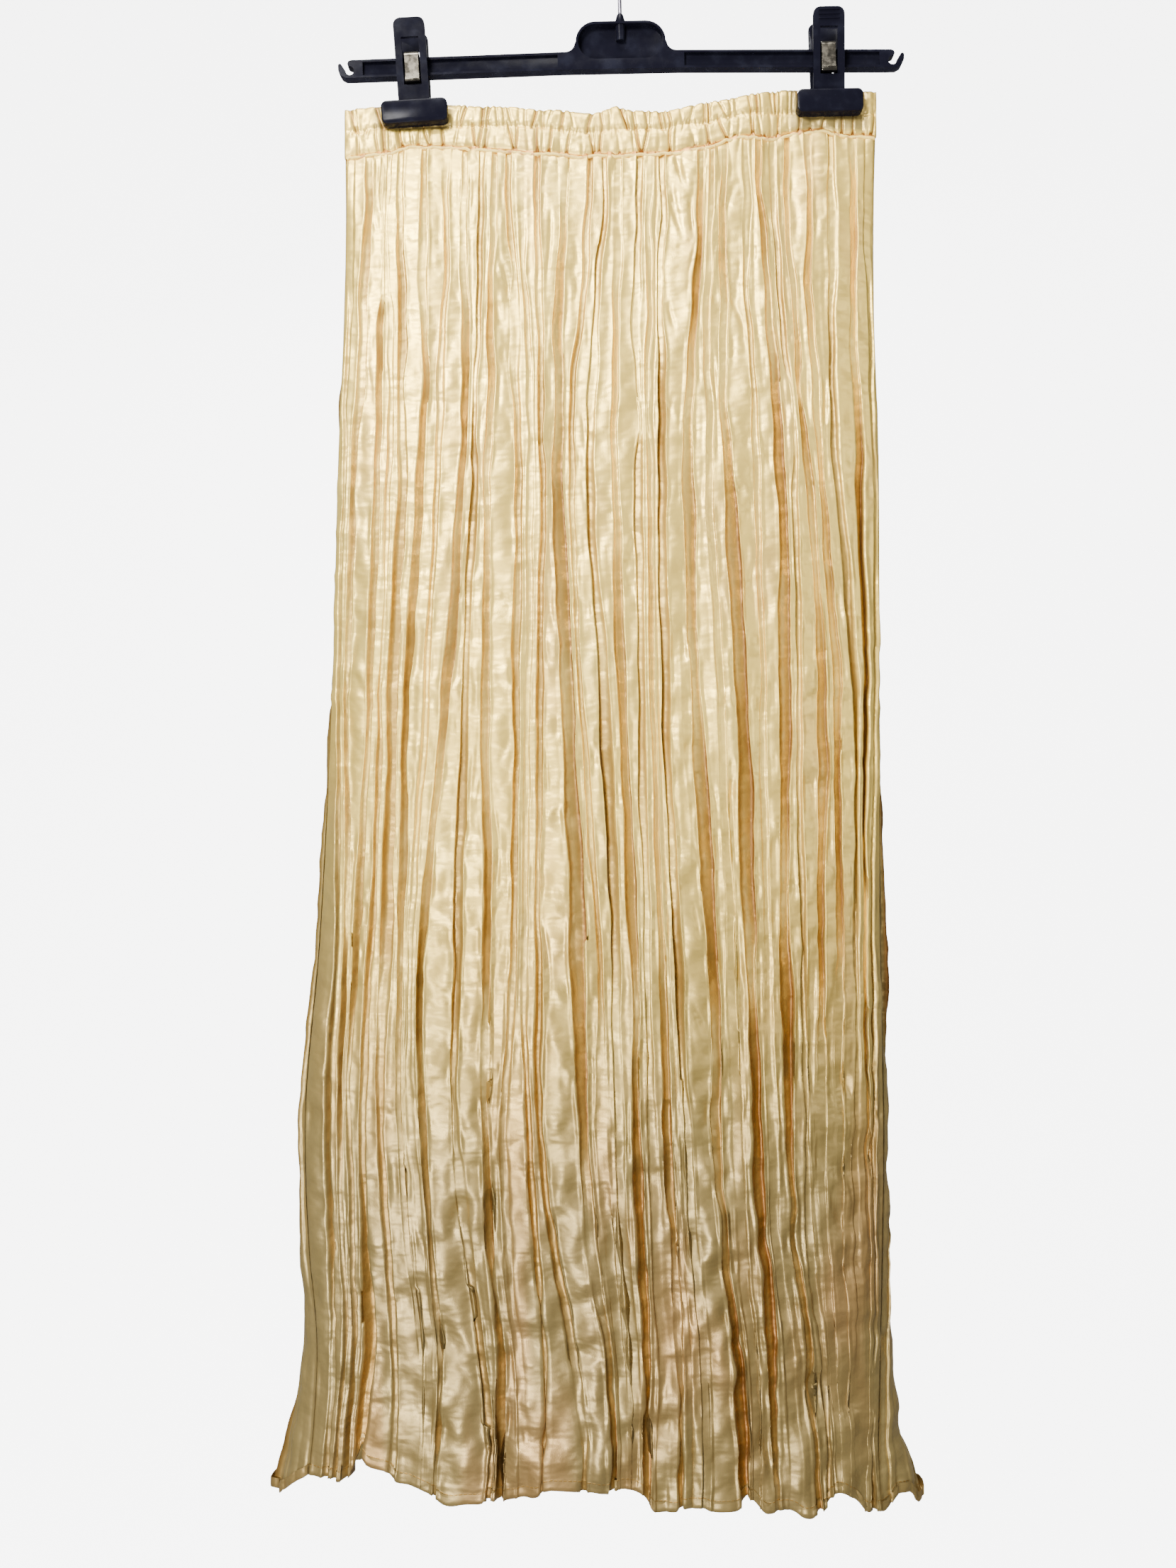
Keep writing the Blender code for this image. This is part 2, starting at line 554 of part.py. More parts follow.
def bar_half_outline():
    """The right half of the bar's face, from the bottom middle round to the top middle."""
    low, high = BAR_MIDDLE - BAR_HEIGHT / 2, BAR_MIDDLE + BAR_HEIGHT / 2
    x, z = NOTCH_CENTRE
    end_low = low - ARM_DROOP
    end_high = high - ARM_DROOP
    toe_start, toe_end, toe_rise = TOE
    points = [(0.0, low), (ARM_ROOT, low), (BAR_END, end_low), (x + toe_start, end_low)]
    points += [(x + toe_end, end_low + toe_rise)]
    points += [(x + across, z + up) for across, up in NOTCH_FINGER]
    points += arc(NOTCH_CENTRE, NOTCH_RADIUS, *NOTCH_TURN, 11)
    points += [(x + across, z + up) for across, up in NOTCH_LIP]
    points += [(x + NOTCH_LIP[0][0], end_high - RIM / 2), (x - RIM / 2, end_high)]
    points += [(ARM_ROOT + 1.0, high)]
    side = PLAQUE_TOP - PLAQUE_RADIUS
    shoulder = (PLAQUE_HALF + FILLET + 0.5, high + FILLET)
    points += arc(shoulder, FILLET, -90, -172, 4)
    points += arc((PLAQUE_HALF - PLAQUE_RADIUS, side), PLAQUE_RADIUS, 0, 90, 8)
    return points


def prism(outline, front, back):
    """Points and faces of a flat outline carried from one depth to another."""
    count = len(outline)
    points = [(x, front, z) for x, z in outline] + [(x, back, z) for x, z in outline]
    faces = [tuple(range(count)), tuple(reversed(range(count, 2 * count)))]
    for k in range(count):
        after = (k + 1) % count
        faces.append((after, k, count + k, count + after))
    return points, faces


def stadium(half, top, radius, inset):
    """A rounded slot outline with vertical middle at x = 0, drawn in by inset."""
    side = top - radius
    reach = half - radius
    right = arc((reach, side), radius - inset, -90, 90, 10)
    left = arc((-reach, side), radius - inset, 90, 270, 10)
    return right + left


def web_outline(facing):
    """The long recess in one arm of the bar, which follows the arm's droop."""
    near, far = WEB_ENDS
    reach = BAR_HEIGHT / 2 - RIM
    corners = [(near, BAR_MIDDLE - droop(near) - reach), (far, BAR_MIDDLE - droop(far) - reach),
               (far, BAR_MIDDLE - droop(far) + reach), (near, BAR_MIDDLE - droop(near) + reach)]
    corners = [(facing * x, z) for x, z in corners]
    return corners if facing > 0 else corners[::-1]


def make_bar(plastic, hanger):
    half = bar_half_outline()
    mirrored = [(-x, z) for x, z in reversed(half) if x > 0]
    face = BAR_DEPTH / 2
    bar = add_object("hanger_bar", *prism(half + mirrored, -face, face), plastic, hanger)
    deep = -face - 1
    recess = stadium(PLAQUE_HALF, PLAQUE_TOP, PLAQUE_RADIUS, RIM)
    cutters = [("cut_plaque", prism(recess, deep, PLAQUE_DEPTH - face))]
    for facing, word in ((1, "right"), (-1, "left")):
        cutters.append(("cut_web_" + word, prism(web_outline(facing), deep, WEB_DEPTH - face)))
    for name, (points, faces) in cutters:
        add_boolean(bar, add_object(name, points, faces, plastic, hanger), "DIFFERENCE")
    add_boolean(bar, add_boss(plastic, hanger), "UNION")
    return bar


def add_boss(plastic, hanger):
    """The boss that grips the wire: a cone on the plaque's top that runs down its face."""
    sides = 16
    levels = list(zip(BOSS_LEVELS, BOSS_RADII))
    points = []
    for z, radius in levels:
        turns = [2 * math.pi * k / sides for k in range(sides)]
        points += [(radius * math.cos(a), radius * math.sin(a), z) for a in turns]
    faces = [tuple(range(sides)), tuple(reversed(range(2 * sides, 3 * sides)))]
    for ring in range(len(levels) - 1):
        for k in range(sides):
            a, b = ring * sides + k, ring * sides + (k + 1) % sides
            faces.append((b, a, a + sides, b + sides))
    return add_object("hook_boss", points, faces, plastic, hanger)


def hook_path():
    """The wire's middle line: straight out of the boss, a reverse bend, then round the crown."""
    reach = HOOK_INSIDE + WIRE_RADIUS
    crown = arc((0.0, -HOOK_INSIDE), reach, HOOK_TURN[0], HOOK_TURN[1], HOOK_STEPS)
    x, z = crown[-1]
    heading = HOOK_TURN[1] + 90 - 360
    begun = math.radians(heading)
    bend = -x / (1 + math.sin(begun))
    neck = []
    for k in range(1, NECK_STEPS + 1):
        turned = math.radians(heading + (-90 - heading) * k / NECK_STEPS)
        neck.append((x + bend * (math.sin(begun) - math.sin(turned)),
                     z - bend * (math.cos(begun) - math.cos(turned))))
    path = crown + neck + [(0.0, BOSS_TOP + SEAM_GAP)]
    return [(px, 0.0, pz) for px, pz in path]


def add_hook(metal, hanger):
    curve = bpy.data.curves.new("hanger_hook", "CURVE")
    curve.dimensions = "3D"
    curve.bevel_depth = WIRE_RADIUS * MM
    curve.bevel_resolution = 2
    curve.use_fill_caps = True
    path = hook_path()
    spline = curve.splines.new("POLY")
    spline.points.add(len(path) - 1)
    for point, place in zip(spline.points, path):
        point.co = (*[value * MM for value in place], 1.0)
    curve.materials.append(metal)
    hook = bpy.data.objects.new("hanger_hook", curve)
    bpy.context.scene.collection.objects.link(hook)
    hook.parent = hanger
    return hook


# ------------------------------------------------------------------ clips
def plate_middle(z):
    """How far in front of the centre plane the arm's plate is at a height."""
    return ARM_START + ARM_LEAN * (z - JAW_TOP)


def slab(x0, x1, profile, facing):
    """A side profile of (distance in front, height) carried across from x0 to x1."""
    count = len(profile)
    points = [(x0, -facing * y, z) for y, z in profile] + [(x1, -facing * y, z) for y, z in profile]
    faces = [tuple(reversed(range(count))), tuple(range(count, 2 * count))]
    for k in range(count):
        after = (k + 1) % count
        faces.append((k, after, count + after, count + k))
    return points, faces


def rounded_plate(width, low, high, corner, corners_low):
    """Outline of a plate with rounded top corners and, where asked, rounded lower ones."""
    half = width / 2
    points = arc((half - corner, high - corner), corner, 0, 90, 4)
    points += arc((corner - half, high - corner), corner, 90, 180, 4)
    if corners_low:
        points += arc((corner - half, low + corner), corner, 180, 270, 4)
        points += arc((half - corner, low + corner), corner, 270, 360, 4)
    else:
        points += [(-half, low), (half, low)]
    return points


def add_arm(name, facing, plastic, parent, ridges):
    """A clip's front or back half: plate, two side flanges, jaw and, where it has them, ridges."""
    outline = rounded_plate(ARM_WIDTH, JAW_TOP - ARM_SUNK, ARM_TOP, ARM_CORNER, False)
    half = ARM_PLATE / 2
    count = len(outline)
    points = [(x, -facing * (plate_middle(z) + half), z) for x, z in outline]
    points += [(x, -facing * (plate_middle(z) - half), z) for x, z in outline]
    faces = [tuple(range(count)), tuple(reversed(range(count, 2 * count)))]
    for k in range(count):
        after = (k + 1) % count
        faces.append((after, k, count + k, count + after))
    arm = add_object(name, points, faces, plastic, parent)
    seat = BAR_DEPTH / 2 + SEAM_GAP
    high = ARM_TOP - ARM_CORNER
    low = JAW_TOP - 1
    flange = ((plate_middle(low) + FLANGE_OUT, low), (plate_middle(high) + FLANGE_OUT, high),
              (plate_middle(high) - FLANGE_TOP, high), (seat, FLANGE_SEAT), (seat, low))
    for hand, word in ((1, "right"), (-1, "left")):
        edge = ARM_WIDTH / 2 - FLANGE_INSET
        x0, x1 = sorted((hand * edge, hand * (edge - FLANGE)))
        made = slab(x0, x1, flange, facing)
        add_boolean(arm, add_object(f"{name}_flange_{word}", *made, plastic, parent), "UNION")
    jaw = rounded_plate(JAW_WIDTH, JAW_BOTTOM, JAW_TOP, JAW_CORNER, True)
    inner, outer = JAW_FACES
    made = prism(jaw, -facing * outer, -facing * inner)
    jaw_block = add_object(name + "_jaw", *made, plastic, parent)
    bevel_front_edge(jaw_block, -facing * outer)
    add_boolean(arm, jaw_block, "UNION")
    width, top, bottom = WINDOW
    near, far = WINDOW_REACH
    hole = ((near, bottom), (far, bottom), (far, top), (near, top))
    made = slab(-width / 2, width / 2, hole, facing)
    add_boolean(arm, add_object(name + "_window", *made, plastic, parent), "DIFFERENCE")
    for k, z in enumerate(GRIP_RIDGES if ridges else ()):
        across, tall, proud = RIDGE_SIZE
        face = plate_middle(z) + half
        bar = ((face - proud, z - tall / 2), (face + proud, z - tall / 4),
               (face + proud, z + tall / 4), (face - proud, z + tall / 2))
        made = slab(-across / 2, across / 2, bar, facing)
        add_boolean(arm, add_object(f"{name}_ridge_{k}", *made, plastic, parent), "UNION")
    return arm


def bevel_front_edge(block, face_y):
    """Rounds the edge round the block's outer face."""
    weights = block.data.attributes.new("bevel_weight_edge", "FLOAT", "EDGE")
    for edge in block.data.edges:
        ends = [block.data.vertices[v].co.y for v in edge.vertices]
        on_face = all(abs(y - face_y * MM) < 1e-6 for y in ends)
        weights.data[edge.index].value = 1.0 if on_face else 0.0
    bevel = block.modifiers.new("edge", "BEVEL")
    bevel.limit_method = "WEIGHT"
    bevel.width = JAW_EDGE * MM
    bevel.segments = 2


def spring_path():
    """The leaf's middle line as (distance in front, height): curl, leg, bend over the bar."""
    low, high = SPRING_SPAN
    curl = arc((SPRING_LEG + SPRING_CURL, low), SPRING_CURL, 20, -180, 5)
    over = [(SPRING_LEG * math.cos(math.radians(a)), high + SPRING_RISE * math.sin(math.radians(a)))
            for a in range(0, 91, 15)]
    front = curl + over
    return front + [(-y, z) for y, z in reversed(front[:-1])]


def add_spring(name, metal, parent):
    """A bent leaf: its middle line thickened, then carried across its width."""
    line = np.array(spring_path())
    outer, inner = offset_both(line, SPRING_THICK / 2)
    profile = [tuple(p) for p in outer] + [tuple(p) for p in inner[::-1]]
    count, half = len(line), SPRING_WIDTH / 2
    total = 2 * count
    points = [(-half, -y, z) for y, z in profile] + [(half, -y, z) for y, z in profile]
    faces = []
    for k in range(total):
        after = (k + 1) % total
        faces.append((k, after, total + after, total + k))
    for k in range(count - 1):
        a, b, c, d = k, k + 1, total - 2 - k, total - 1 - k
        faces.append((d, c, b, a))
        faces.append((total + a, total + b, total + c, total + d))
    return add_object(name, points, faces, metal, parent)


def make_clips(plastic, metal, hanger):
    for hand, across, lift, turn in CLIP_PLACES:
        clip = bpy.data.objects.new("clip_" + hand, None)
        bpy.context.scene.collection.objects.link(clip)
        clip.parent = hanger
        clip.location = (across * MM, 0.0, (BAR_MIDDLE - droop(across) + lift) * MM)
        clip.rotation_euler = (0.0, -math.radians(turn), 0.0)
        add_arm(f"clip_{hand}_front", 1, plastic, clip, ridges=hand == "right")
        add_arm(f"clip_{hand}_back", -1, plastic, clip, ridges=False)
        add_spring(f"clip_{hand}_spring", metal, clip)


# ------------------------------------------------------------------ build
def build():
    clear_scene()
    satin = material("satin", SATIN, 0.45)
    plastic = material("plastic", BLACK_PLASTIC, 0.3)
    wire = material("wire", WIRE_METAL, 0.3, 1.0)
    spring = material("spring", SPRING_METAL, 0.25, 1.0)
    make_skirt(satin)
    add_waistband("waistband_front", "front", satin, 0.0)
    add_waistband("waistband_back", "back", satin, 2.1)
    hanger = bpy.data.objects.new("hanger", None)
    bpy.context.scene.collection.objects.link(hanger)
    hanger.rotation_euler = (0.0, -math.radians(HANGER_TILT), 0.0)
    make_bar(plastic, hanger)
    add_hook(wire, hanger)
    make_clips(plastic, spring, hanger)


build()
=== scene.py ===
"""Looks of a pleated satin maxi skirt, hung flat by its waistband from a two-clip hanger.

The cloth is rebuilt as fine shells on the form of its solids: the same flattened tube and the same
folds, with creases, gathers, hem and stitches added. The hanger's parts get rounded edges.
Shapes are worked out in millimetres, front towards -Y, +X to the viewer's right, +Z up, and the
origin at the inside of the hook's crown. add_mesh turns them into metres.
"""

import math

import bmesh
import bpy
import numpy as np
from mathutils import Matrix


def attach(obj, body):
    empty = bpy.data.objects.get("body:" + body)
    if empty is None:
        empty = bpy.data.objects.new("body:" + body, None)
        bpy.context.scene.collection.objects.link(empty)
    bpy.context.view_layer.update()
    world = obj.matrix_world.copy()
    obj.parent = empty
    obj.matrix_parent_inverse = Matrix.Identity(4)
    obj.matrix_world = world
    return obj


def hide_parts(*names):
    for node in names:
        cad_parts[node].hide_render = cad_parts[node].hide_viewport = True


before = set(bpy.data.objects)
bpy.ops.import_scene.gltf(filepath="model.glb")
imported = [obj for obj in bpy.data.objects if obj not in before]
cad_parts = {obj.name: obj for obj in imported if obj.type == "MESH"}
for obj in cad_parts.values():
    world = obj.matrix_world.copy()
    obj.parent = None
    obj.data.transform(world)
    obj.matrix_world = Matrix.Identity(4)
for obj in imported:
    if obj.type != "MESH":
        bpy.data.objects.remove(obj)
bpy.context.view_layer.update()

MM = 0.001

# ------------------------------------------------------------------ cloth sizes
SKIN = 0.6  # the shell lies this far outside the wall's middle
WAIST_NOMINAL = -150.0  # height of the waist seam
HEM_NOMINAL = -962.0
SEAM_HEMS = (-949.5, -966.0)  # height of the hem at the left and right side seams
BACK_HEM = -971.0
BACK_HEM_SHARE = 0.06  # share of the back, beside each seam, in which its hem comes down to that
SEAM_GAP = 0.3
HEM_START = 6  # power by which the facets' own lengths come in towards the hem
SEAM_HANGS = (3.0, 7.0)  # how far both hems hang below the line at the side seams
SEAM_LEVEL = 14.0  # nearer than this to a side seam both hems come level
HEM_SOFT = 2.6  # how far a step of the hem is rounded along the cloth
HEM_WAVE = (1.1, 7.0)  # height and length of the hem's small waves
HEM_TURN = 6.0  # height of the turned hem
TIP_RADIUS = 2.2  # radius of the tube's side edges at the waist
TIP_RADIUS_HEM = 13.0
LINE_SAMPLES = 1201
TANGENT_REACH = 0.4

FACET_LEAST = 2.2  # narrowest flat between two folds
FACET_BUNCHING = 0.08  # how far a facet's columns crowd towards its edges
RECESS_LEAST = 2.0  # narrowest floor of a fold
FOLD_NOMINAL = 5.0  # width of a fold when the columns are shared out
FOLD_RUN = 0.25  # how far a fold's wall slopes for each mm of depth
FOLD_RUN_LEAST = 0.2
FOLD_RUN_SHALLOW = 2.0  # the walls of the shallowest folds slope this far
SHALLOW = 2.5  # a fold less deep than this is shallow
FLOOR_SHARE = 0.72  # widest floor as a share of its mouth
MOUTH_CLOSED = 0.9  # a fold with a narrower half mouth is closed
MOUTH_FREE = 1.7
SQUEEZE_LEAST = 0.2
WAIST_DEPTH = (0.65, 0.03)  # share of a fold's depth at the waist seam, and where it is full
UNDERCUT = 0.5  # how far a fold's floor reaches under the facet beside it
TOWARDS_UNDERCUT = 0.45  # share of its depth that a floor gains on the way there
SUNK = (3.2, 1.2)  # depths at which a fold's floor is all in shade
CLEFT_DEPTHS = (1.0, 3.0)  # the painted dark shade of an undercut corner begins at this depth, and is full this much deeper

# Where the folds change on their way down: the height at which it starts and over how much.
SWAYS = (WAIST_NOMINAL - 6, 40.0)
STEADIES = (-200.0, 200.0)
SWELLS = (-560.0, 150.0)
NARROWS = (-500.0, 250.0)
RELAXES = (-600.0, 160.0)
# Shares of the skirt's height at which the creases of the middle and of the lower cloth start,
# and over which they grow.
MID_GROWS = (0.12, 0.3)
LOWER_GROWS = (0.45, 0.4)
SMOOTH_LEFT = (0.4, -140.0, 50.0)  # share left at the left edge, where it starts and over what

EDGE_ROLL = 0.26  # a pressed edge stands this proud of its facet
EDGE_RIDGE = (0.4, 0.9)  # height and width of the thin ridge down a facet's left edge
EDGE_UNCRUSHED = 2.5  # nearer than this to its edges a facet stays smoother
CROWN_TOP = 0.04  # height of a facet's crown as a share of its width
CROWN_HEM = 0.13
CROWN_LARGEST = 2.4
FACET_LINES_PER_MM = 0.2
TILT_SLOPE = 0.12
TILT_LARGEST = 0.8
FACETS_APART = 61.0  # the noise jumps by this from facet to facet
CALM_DEPTH = 1.8  # beside folds shallower than this the lower cloth runs on unbroken
# Crush lines: their lean, cell width and height, strength towards the hem and seed.
CRUSH_LINES = ((0.45, 15.0, 24.0, 1.1, 6), (-0.35, 12.0, 17.0, 0.8, 7))
# Broad dents: their height everywhere, in the middle and low down, the lean of their columns and
# of their rows, cell width and height, and seed. The last are rungs, which come in groups.
BROAD_DENTS = (
    (0.35, 0.45, 0.0, 0.0, 0.15, 17.0, 8.5, 101),
    (0.0, 0.0, 2.7, 0.18, 0.0, 15.0, 32.0, 102),
    (0.4, 0.5, 0.9, -0.26, 0.0, 11.0, 18.0, 103),
    (0.0, 0.3, 0.9, 0.3, -0.25, 22.0, 9.0, 104),
)
RUNG_GROUPS = (1.6, 45.0, 60.0, 105)  # how crowded they are, cell width and height, and seed
SEAM_DIP = 0.8  # how deep the cloth dips into a sewn seam
SEAM_REACH = 0.9
SEAM_FLAT = 2.0  # nearer than this to a seam the relief dies away
SEAM_LAP = 0.6  # each panel passes its seams by this, down in the seam's dip
# What the waist seam and the hem press in: height (a groove where negative), place and width.
WAIST_GROOVE = (-0.9, 0.0, 1.6)
HEM_GROOVES = ((-0.35, HEM_TURN, 1.0), (0.20, 2.5, 2.2))

STATIONS = (-178.0, -336.0, -492.0, -644.0, -794.0, -933.0)

OUTLINE_COLUMNS = ("height", "left", "right", "depth", "left_seam", "right_seam")
OUTLINE = (
    (-150.0, -167.6, 158.4, 4.8, 1.0, 1.0),
    (-184.0, -167.4, 157.6, 13.0, 1.0, 1.0),
    (-250.0, -168.6, 157.4, 22.0, 1.0, 1.0),
    (-333.0, -172.0, 160.2, 32.0, 1.0, 1.0),
    (-490.0, -176.2, 161.0, 50.0, 1.0, 1.0),
    (-644.0, -185.2, 162.8, 66.0, 0.99, 0.99),
    (-753.0, -195.2, 165.6, 78.0, 0.98, 0.985),
    (-830.0, -195.6, 166.6, 88.0, 0.96, 0.97),
    (-885.0, -194.0, 168.4, 94.0, 0.94, 0.95),
    (-930.0, -201.0, 176.0, 98.0, 0.91, 0.90),
    (-975.0, -212.0, 191.0, 102.0, 0.88, 0.84),
)

# Front folds, left to right: centres as a share of the front (percent) at each station, widths
# and depths at hip, knee and hem, how far the facet to the right hangs down at the hem, how far
# the fold's floor is lifted there, and the side whose facet it runs under (-1 left, 1 right).
FOLD_COLUMNS = (
    "waist", "hip", "thigh", "knee", "calf", "hem",
    "wide_top", "wide_mid", "wide_hem", "deep_top", "deep_mid", "deep_hem", "drop", "lift", "under",
)
FRONT_LEFT_FOLDS = (
    (1.5, 2.5, 2.6, 4.4, 5.2, 3.2, 2.0, 2.2, 2.4, 1.2, 4.0, 4.6, 3.0, 0.0, 0.9),
    (4.9, 4.7, 4.6, 6.2, 7.4, 5.2, 4.0, 2.6, 2.4, 2.0, 4.0, 5.0, 4.0, 1.0, 1.0),
    (7.3, 8.7, 9.0, 8.2, 9.2, 6.8, 2.2, 2.6, 2.4, 1.5, 4.0, 5.0, -1.0, 1.0, 1.0),
    (8.7, 10.9, 11.0, 11.0, 11.6, 9.6, 2.0, 2.4, 5.0, 0.3, 2.6, 6.0, -9.0, 18.0, 0.3),
    (10.8, 13.4, 13.0, 13.6, 15.2, 15.4, 2.4, 7.0, 3.0, 2.0, 5.0, 1.4, -2.0, 1.0, 0.4),
    (15.1, 17.1, 15.6, 16.2, 18.6, 20.4, 2.4, 2.8, 2.6, 1.3, 5.0, 0.4, 0.0, 1.0, 1.0),
    (19.3, 19.8, 19.2, 18.0, 20.6, 21.6, 2.2, 2.2, 2.2, 1.6, 1.2, 0.2, 2.0, 0.0, 0.0),
    (22.8, 24.0, 22.5, 20.0, 22.6, 23.0, 2.4, 3.4, 3.4, 1.6, 4.0, 6.0, 6.0, 2.0, 1.0),
    (26.1, 26.2, 25.7, 26.0, 28.4, 32.0, 2.2, 3.0, 4.0, 1.3, 4.0, 2.0, 2.0, 3.0, -0.6),
    (28.4, 28.8, 29.2, 30.9, 32.6, 34.0, 2.4, 3.4, 2.4, 1.6, 3.4, 4.5, 0.0, 0.0, 0.8),
    (31.0, 34.0, 34.7, 35.4, 35.3, 38.0, 2.6, 3.6, 3.0, 1.6, 3.4, 0.3, -2.0, 1.0, 0.1),
    (33.4, 36.0, 36.7, 37.4, 39.9, 41.2, 2.2, 2.2, 2.4, 1.2, 0.6, 3.0, -7.0, 1.0, 0.0),
    (36.4, 38.1, 38.6, 39.7, 42.3, 48.0, 2.6, 2.6, 3.4, 1.7, 2.8, 4.0, -7.0, 0.0, 0.0),
    (41.5, 41.0, 43.3, 46.3, 49.0, 53.0, 2.2, 7.0, 5.0, 1.2, 5.0, 3.4, -11.0, 0.0, 1.0),
    (46.2, 43.6, 45.9, 49.8, 51.7, 54.9, 2.4, 2.4, 2.4, 1.9, 2.6, 0.2, -9.0, 0.0, 0.0),
    (48.9, 46.6, 49.9, 52.6, 54.2, 56.6, 2.2, 4.4, 3.0, 1.4, 4.4, 0.4, -8.0, 0.0, -1.0),
    (51.4, 51.0, 52.8, 55.8, 57.0, 58.4, 2.2, 3.8, 3.0, 1.2, 3.4, 4.4, 3.0, 2.0, 0.7),
    (55.4, 55.3, 56.0, 58.0, 59.8, 61.2, 3.4, 3.0, 2.4, 2.0, 2.4, 0.2, 2.0, 0.0, -0.8),
    (57.4, 57.3, 58.0, 60.3, 62.4, 64.4, 2.2, 2.2, 3.0, 0.6, 2.0, 4.0, 0.0, 2.0, 0.6),
)
FRONT_RIGHT_FOLDS = (
    (59.6, 59.5, 60.4, 63.0, 65.6, 68.6, 2.4, 3.0, 2.4, 1.8, 4.6, 1.0, 1.5, 1.0, -1.0),
    (66.8, 64.0, 65.6, 69.0, 70.4, 75.0, 3.4, 5.0, 3.4, 2.0, 4.6, 5.0, -6.0, 1.0, 1.0),
    (68.8, 67.6, 69.6, 72.2, 73.7, 77.4, 2.2, 2.2, 2.6, 1.2, 0.6, 0.3, 3.0, 1.0, 1.0),
    (71.2, 71.0, 73.2, 75.2, 77.0, 81.0, 2.4, 5.6, 4.0, 1.6, 4.6, 4.4, 2.5, 1.0, 1.0),
    (75.0, 76.2, 77.0, 78.1, 79.4, 84.2, 2.2, 2.2, 3.0, 1.6, 1.2, 0.2, 6.0, 1.0, 0.0),
    (77.4, 80.2, 80.9, 81.3, 82.4, 87.8, 2.6, 5.0, 3.4, 1.9, 4.6, 4.4, 3.0, 4.0, 0.9),
    (80.2, 82.6, 83.2, 84.5, 85.2, 90.1, 2.2, 2.4, 2.4, 1.3, 2.6, 2.0, -7.0, 0.0, -0.5),
    (83.0, 84.8, 87.4, 87.6, 87.8, 91.9, 2.2, 3.8, 2.4, 1.5, 4.0, 0.2, -6.0, 0.0, 0.8),
    (86.8, 87.4, 90.0, 90.8, 90.6, 93.6, 2.4, 3.6, 2.4, 1.7, 3.2, 0.2, -2.0, 0.0, 1.0),
    (91.3, 90.4, 93.6, 94.0, 93.6, 95.6, 3.0, 4.0, 2.4, 1.9, 4.0, 0.2, 4.0, 0.0, -0.4),
    (95.2, 94.6, 95.8, 95.8, 95.9, 97.0, 2.6, 3.0, 2.4, 1.7, 4.4, 0.3, 8.0, 0.0, 1.0),
    (98.2, 98.0, 97.9, 97.6, 97.6, 98.5, 2.0, 2.0, 2.2, 0.8, 3.4, 3.6, 6.0, 0.0, -0.8),
)
BACK_FOLD_COUNT = 32
BACK_PLACE = (0.7, 2.4)
BACK_DRIFT = (0.55, 1.3, 0.8)
BACK_WIDE = (3.9, 1.6, 3.1)
BACK_DEEP = (4.2, 1.0, 1.9)
BACK_DROP = (4.5, 2.0)
BACK_WAIST = (2.4, 1.5)
BACK_UNDER_STEP = 2.9
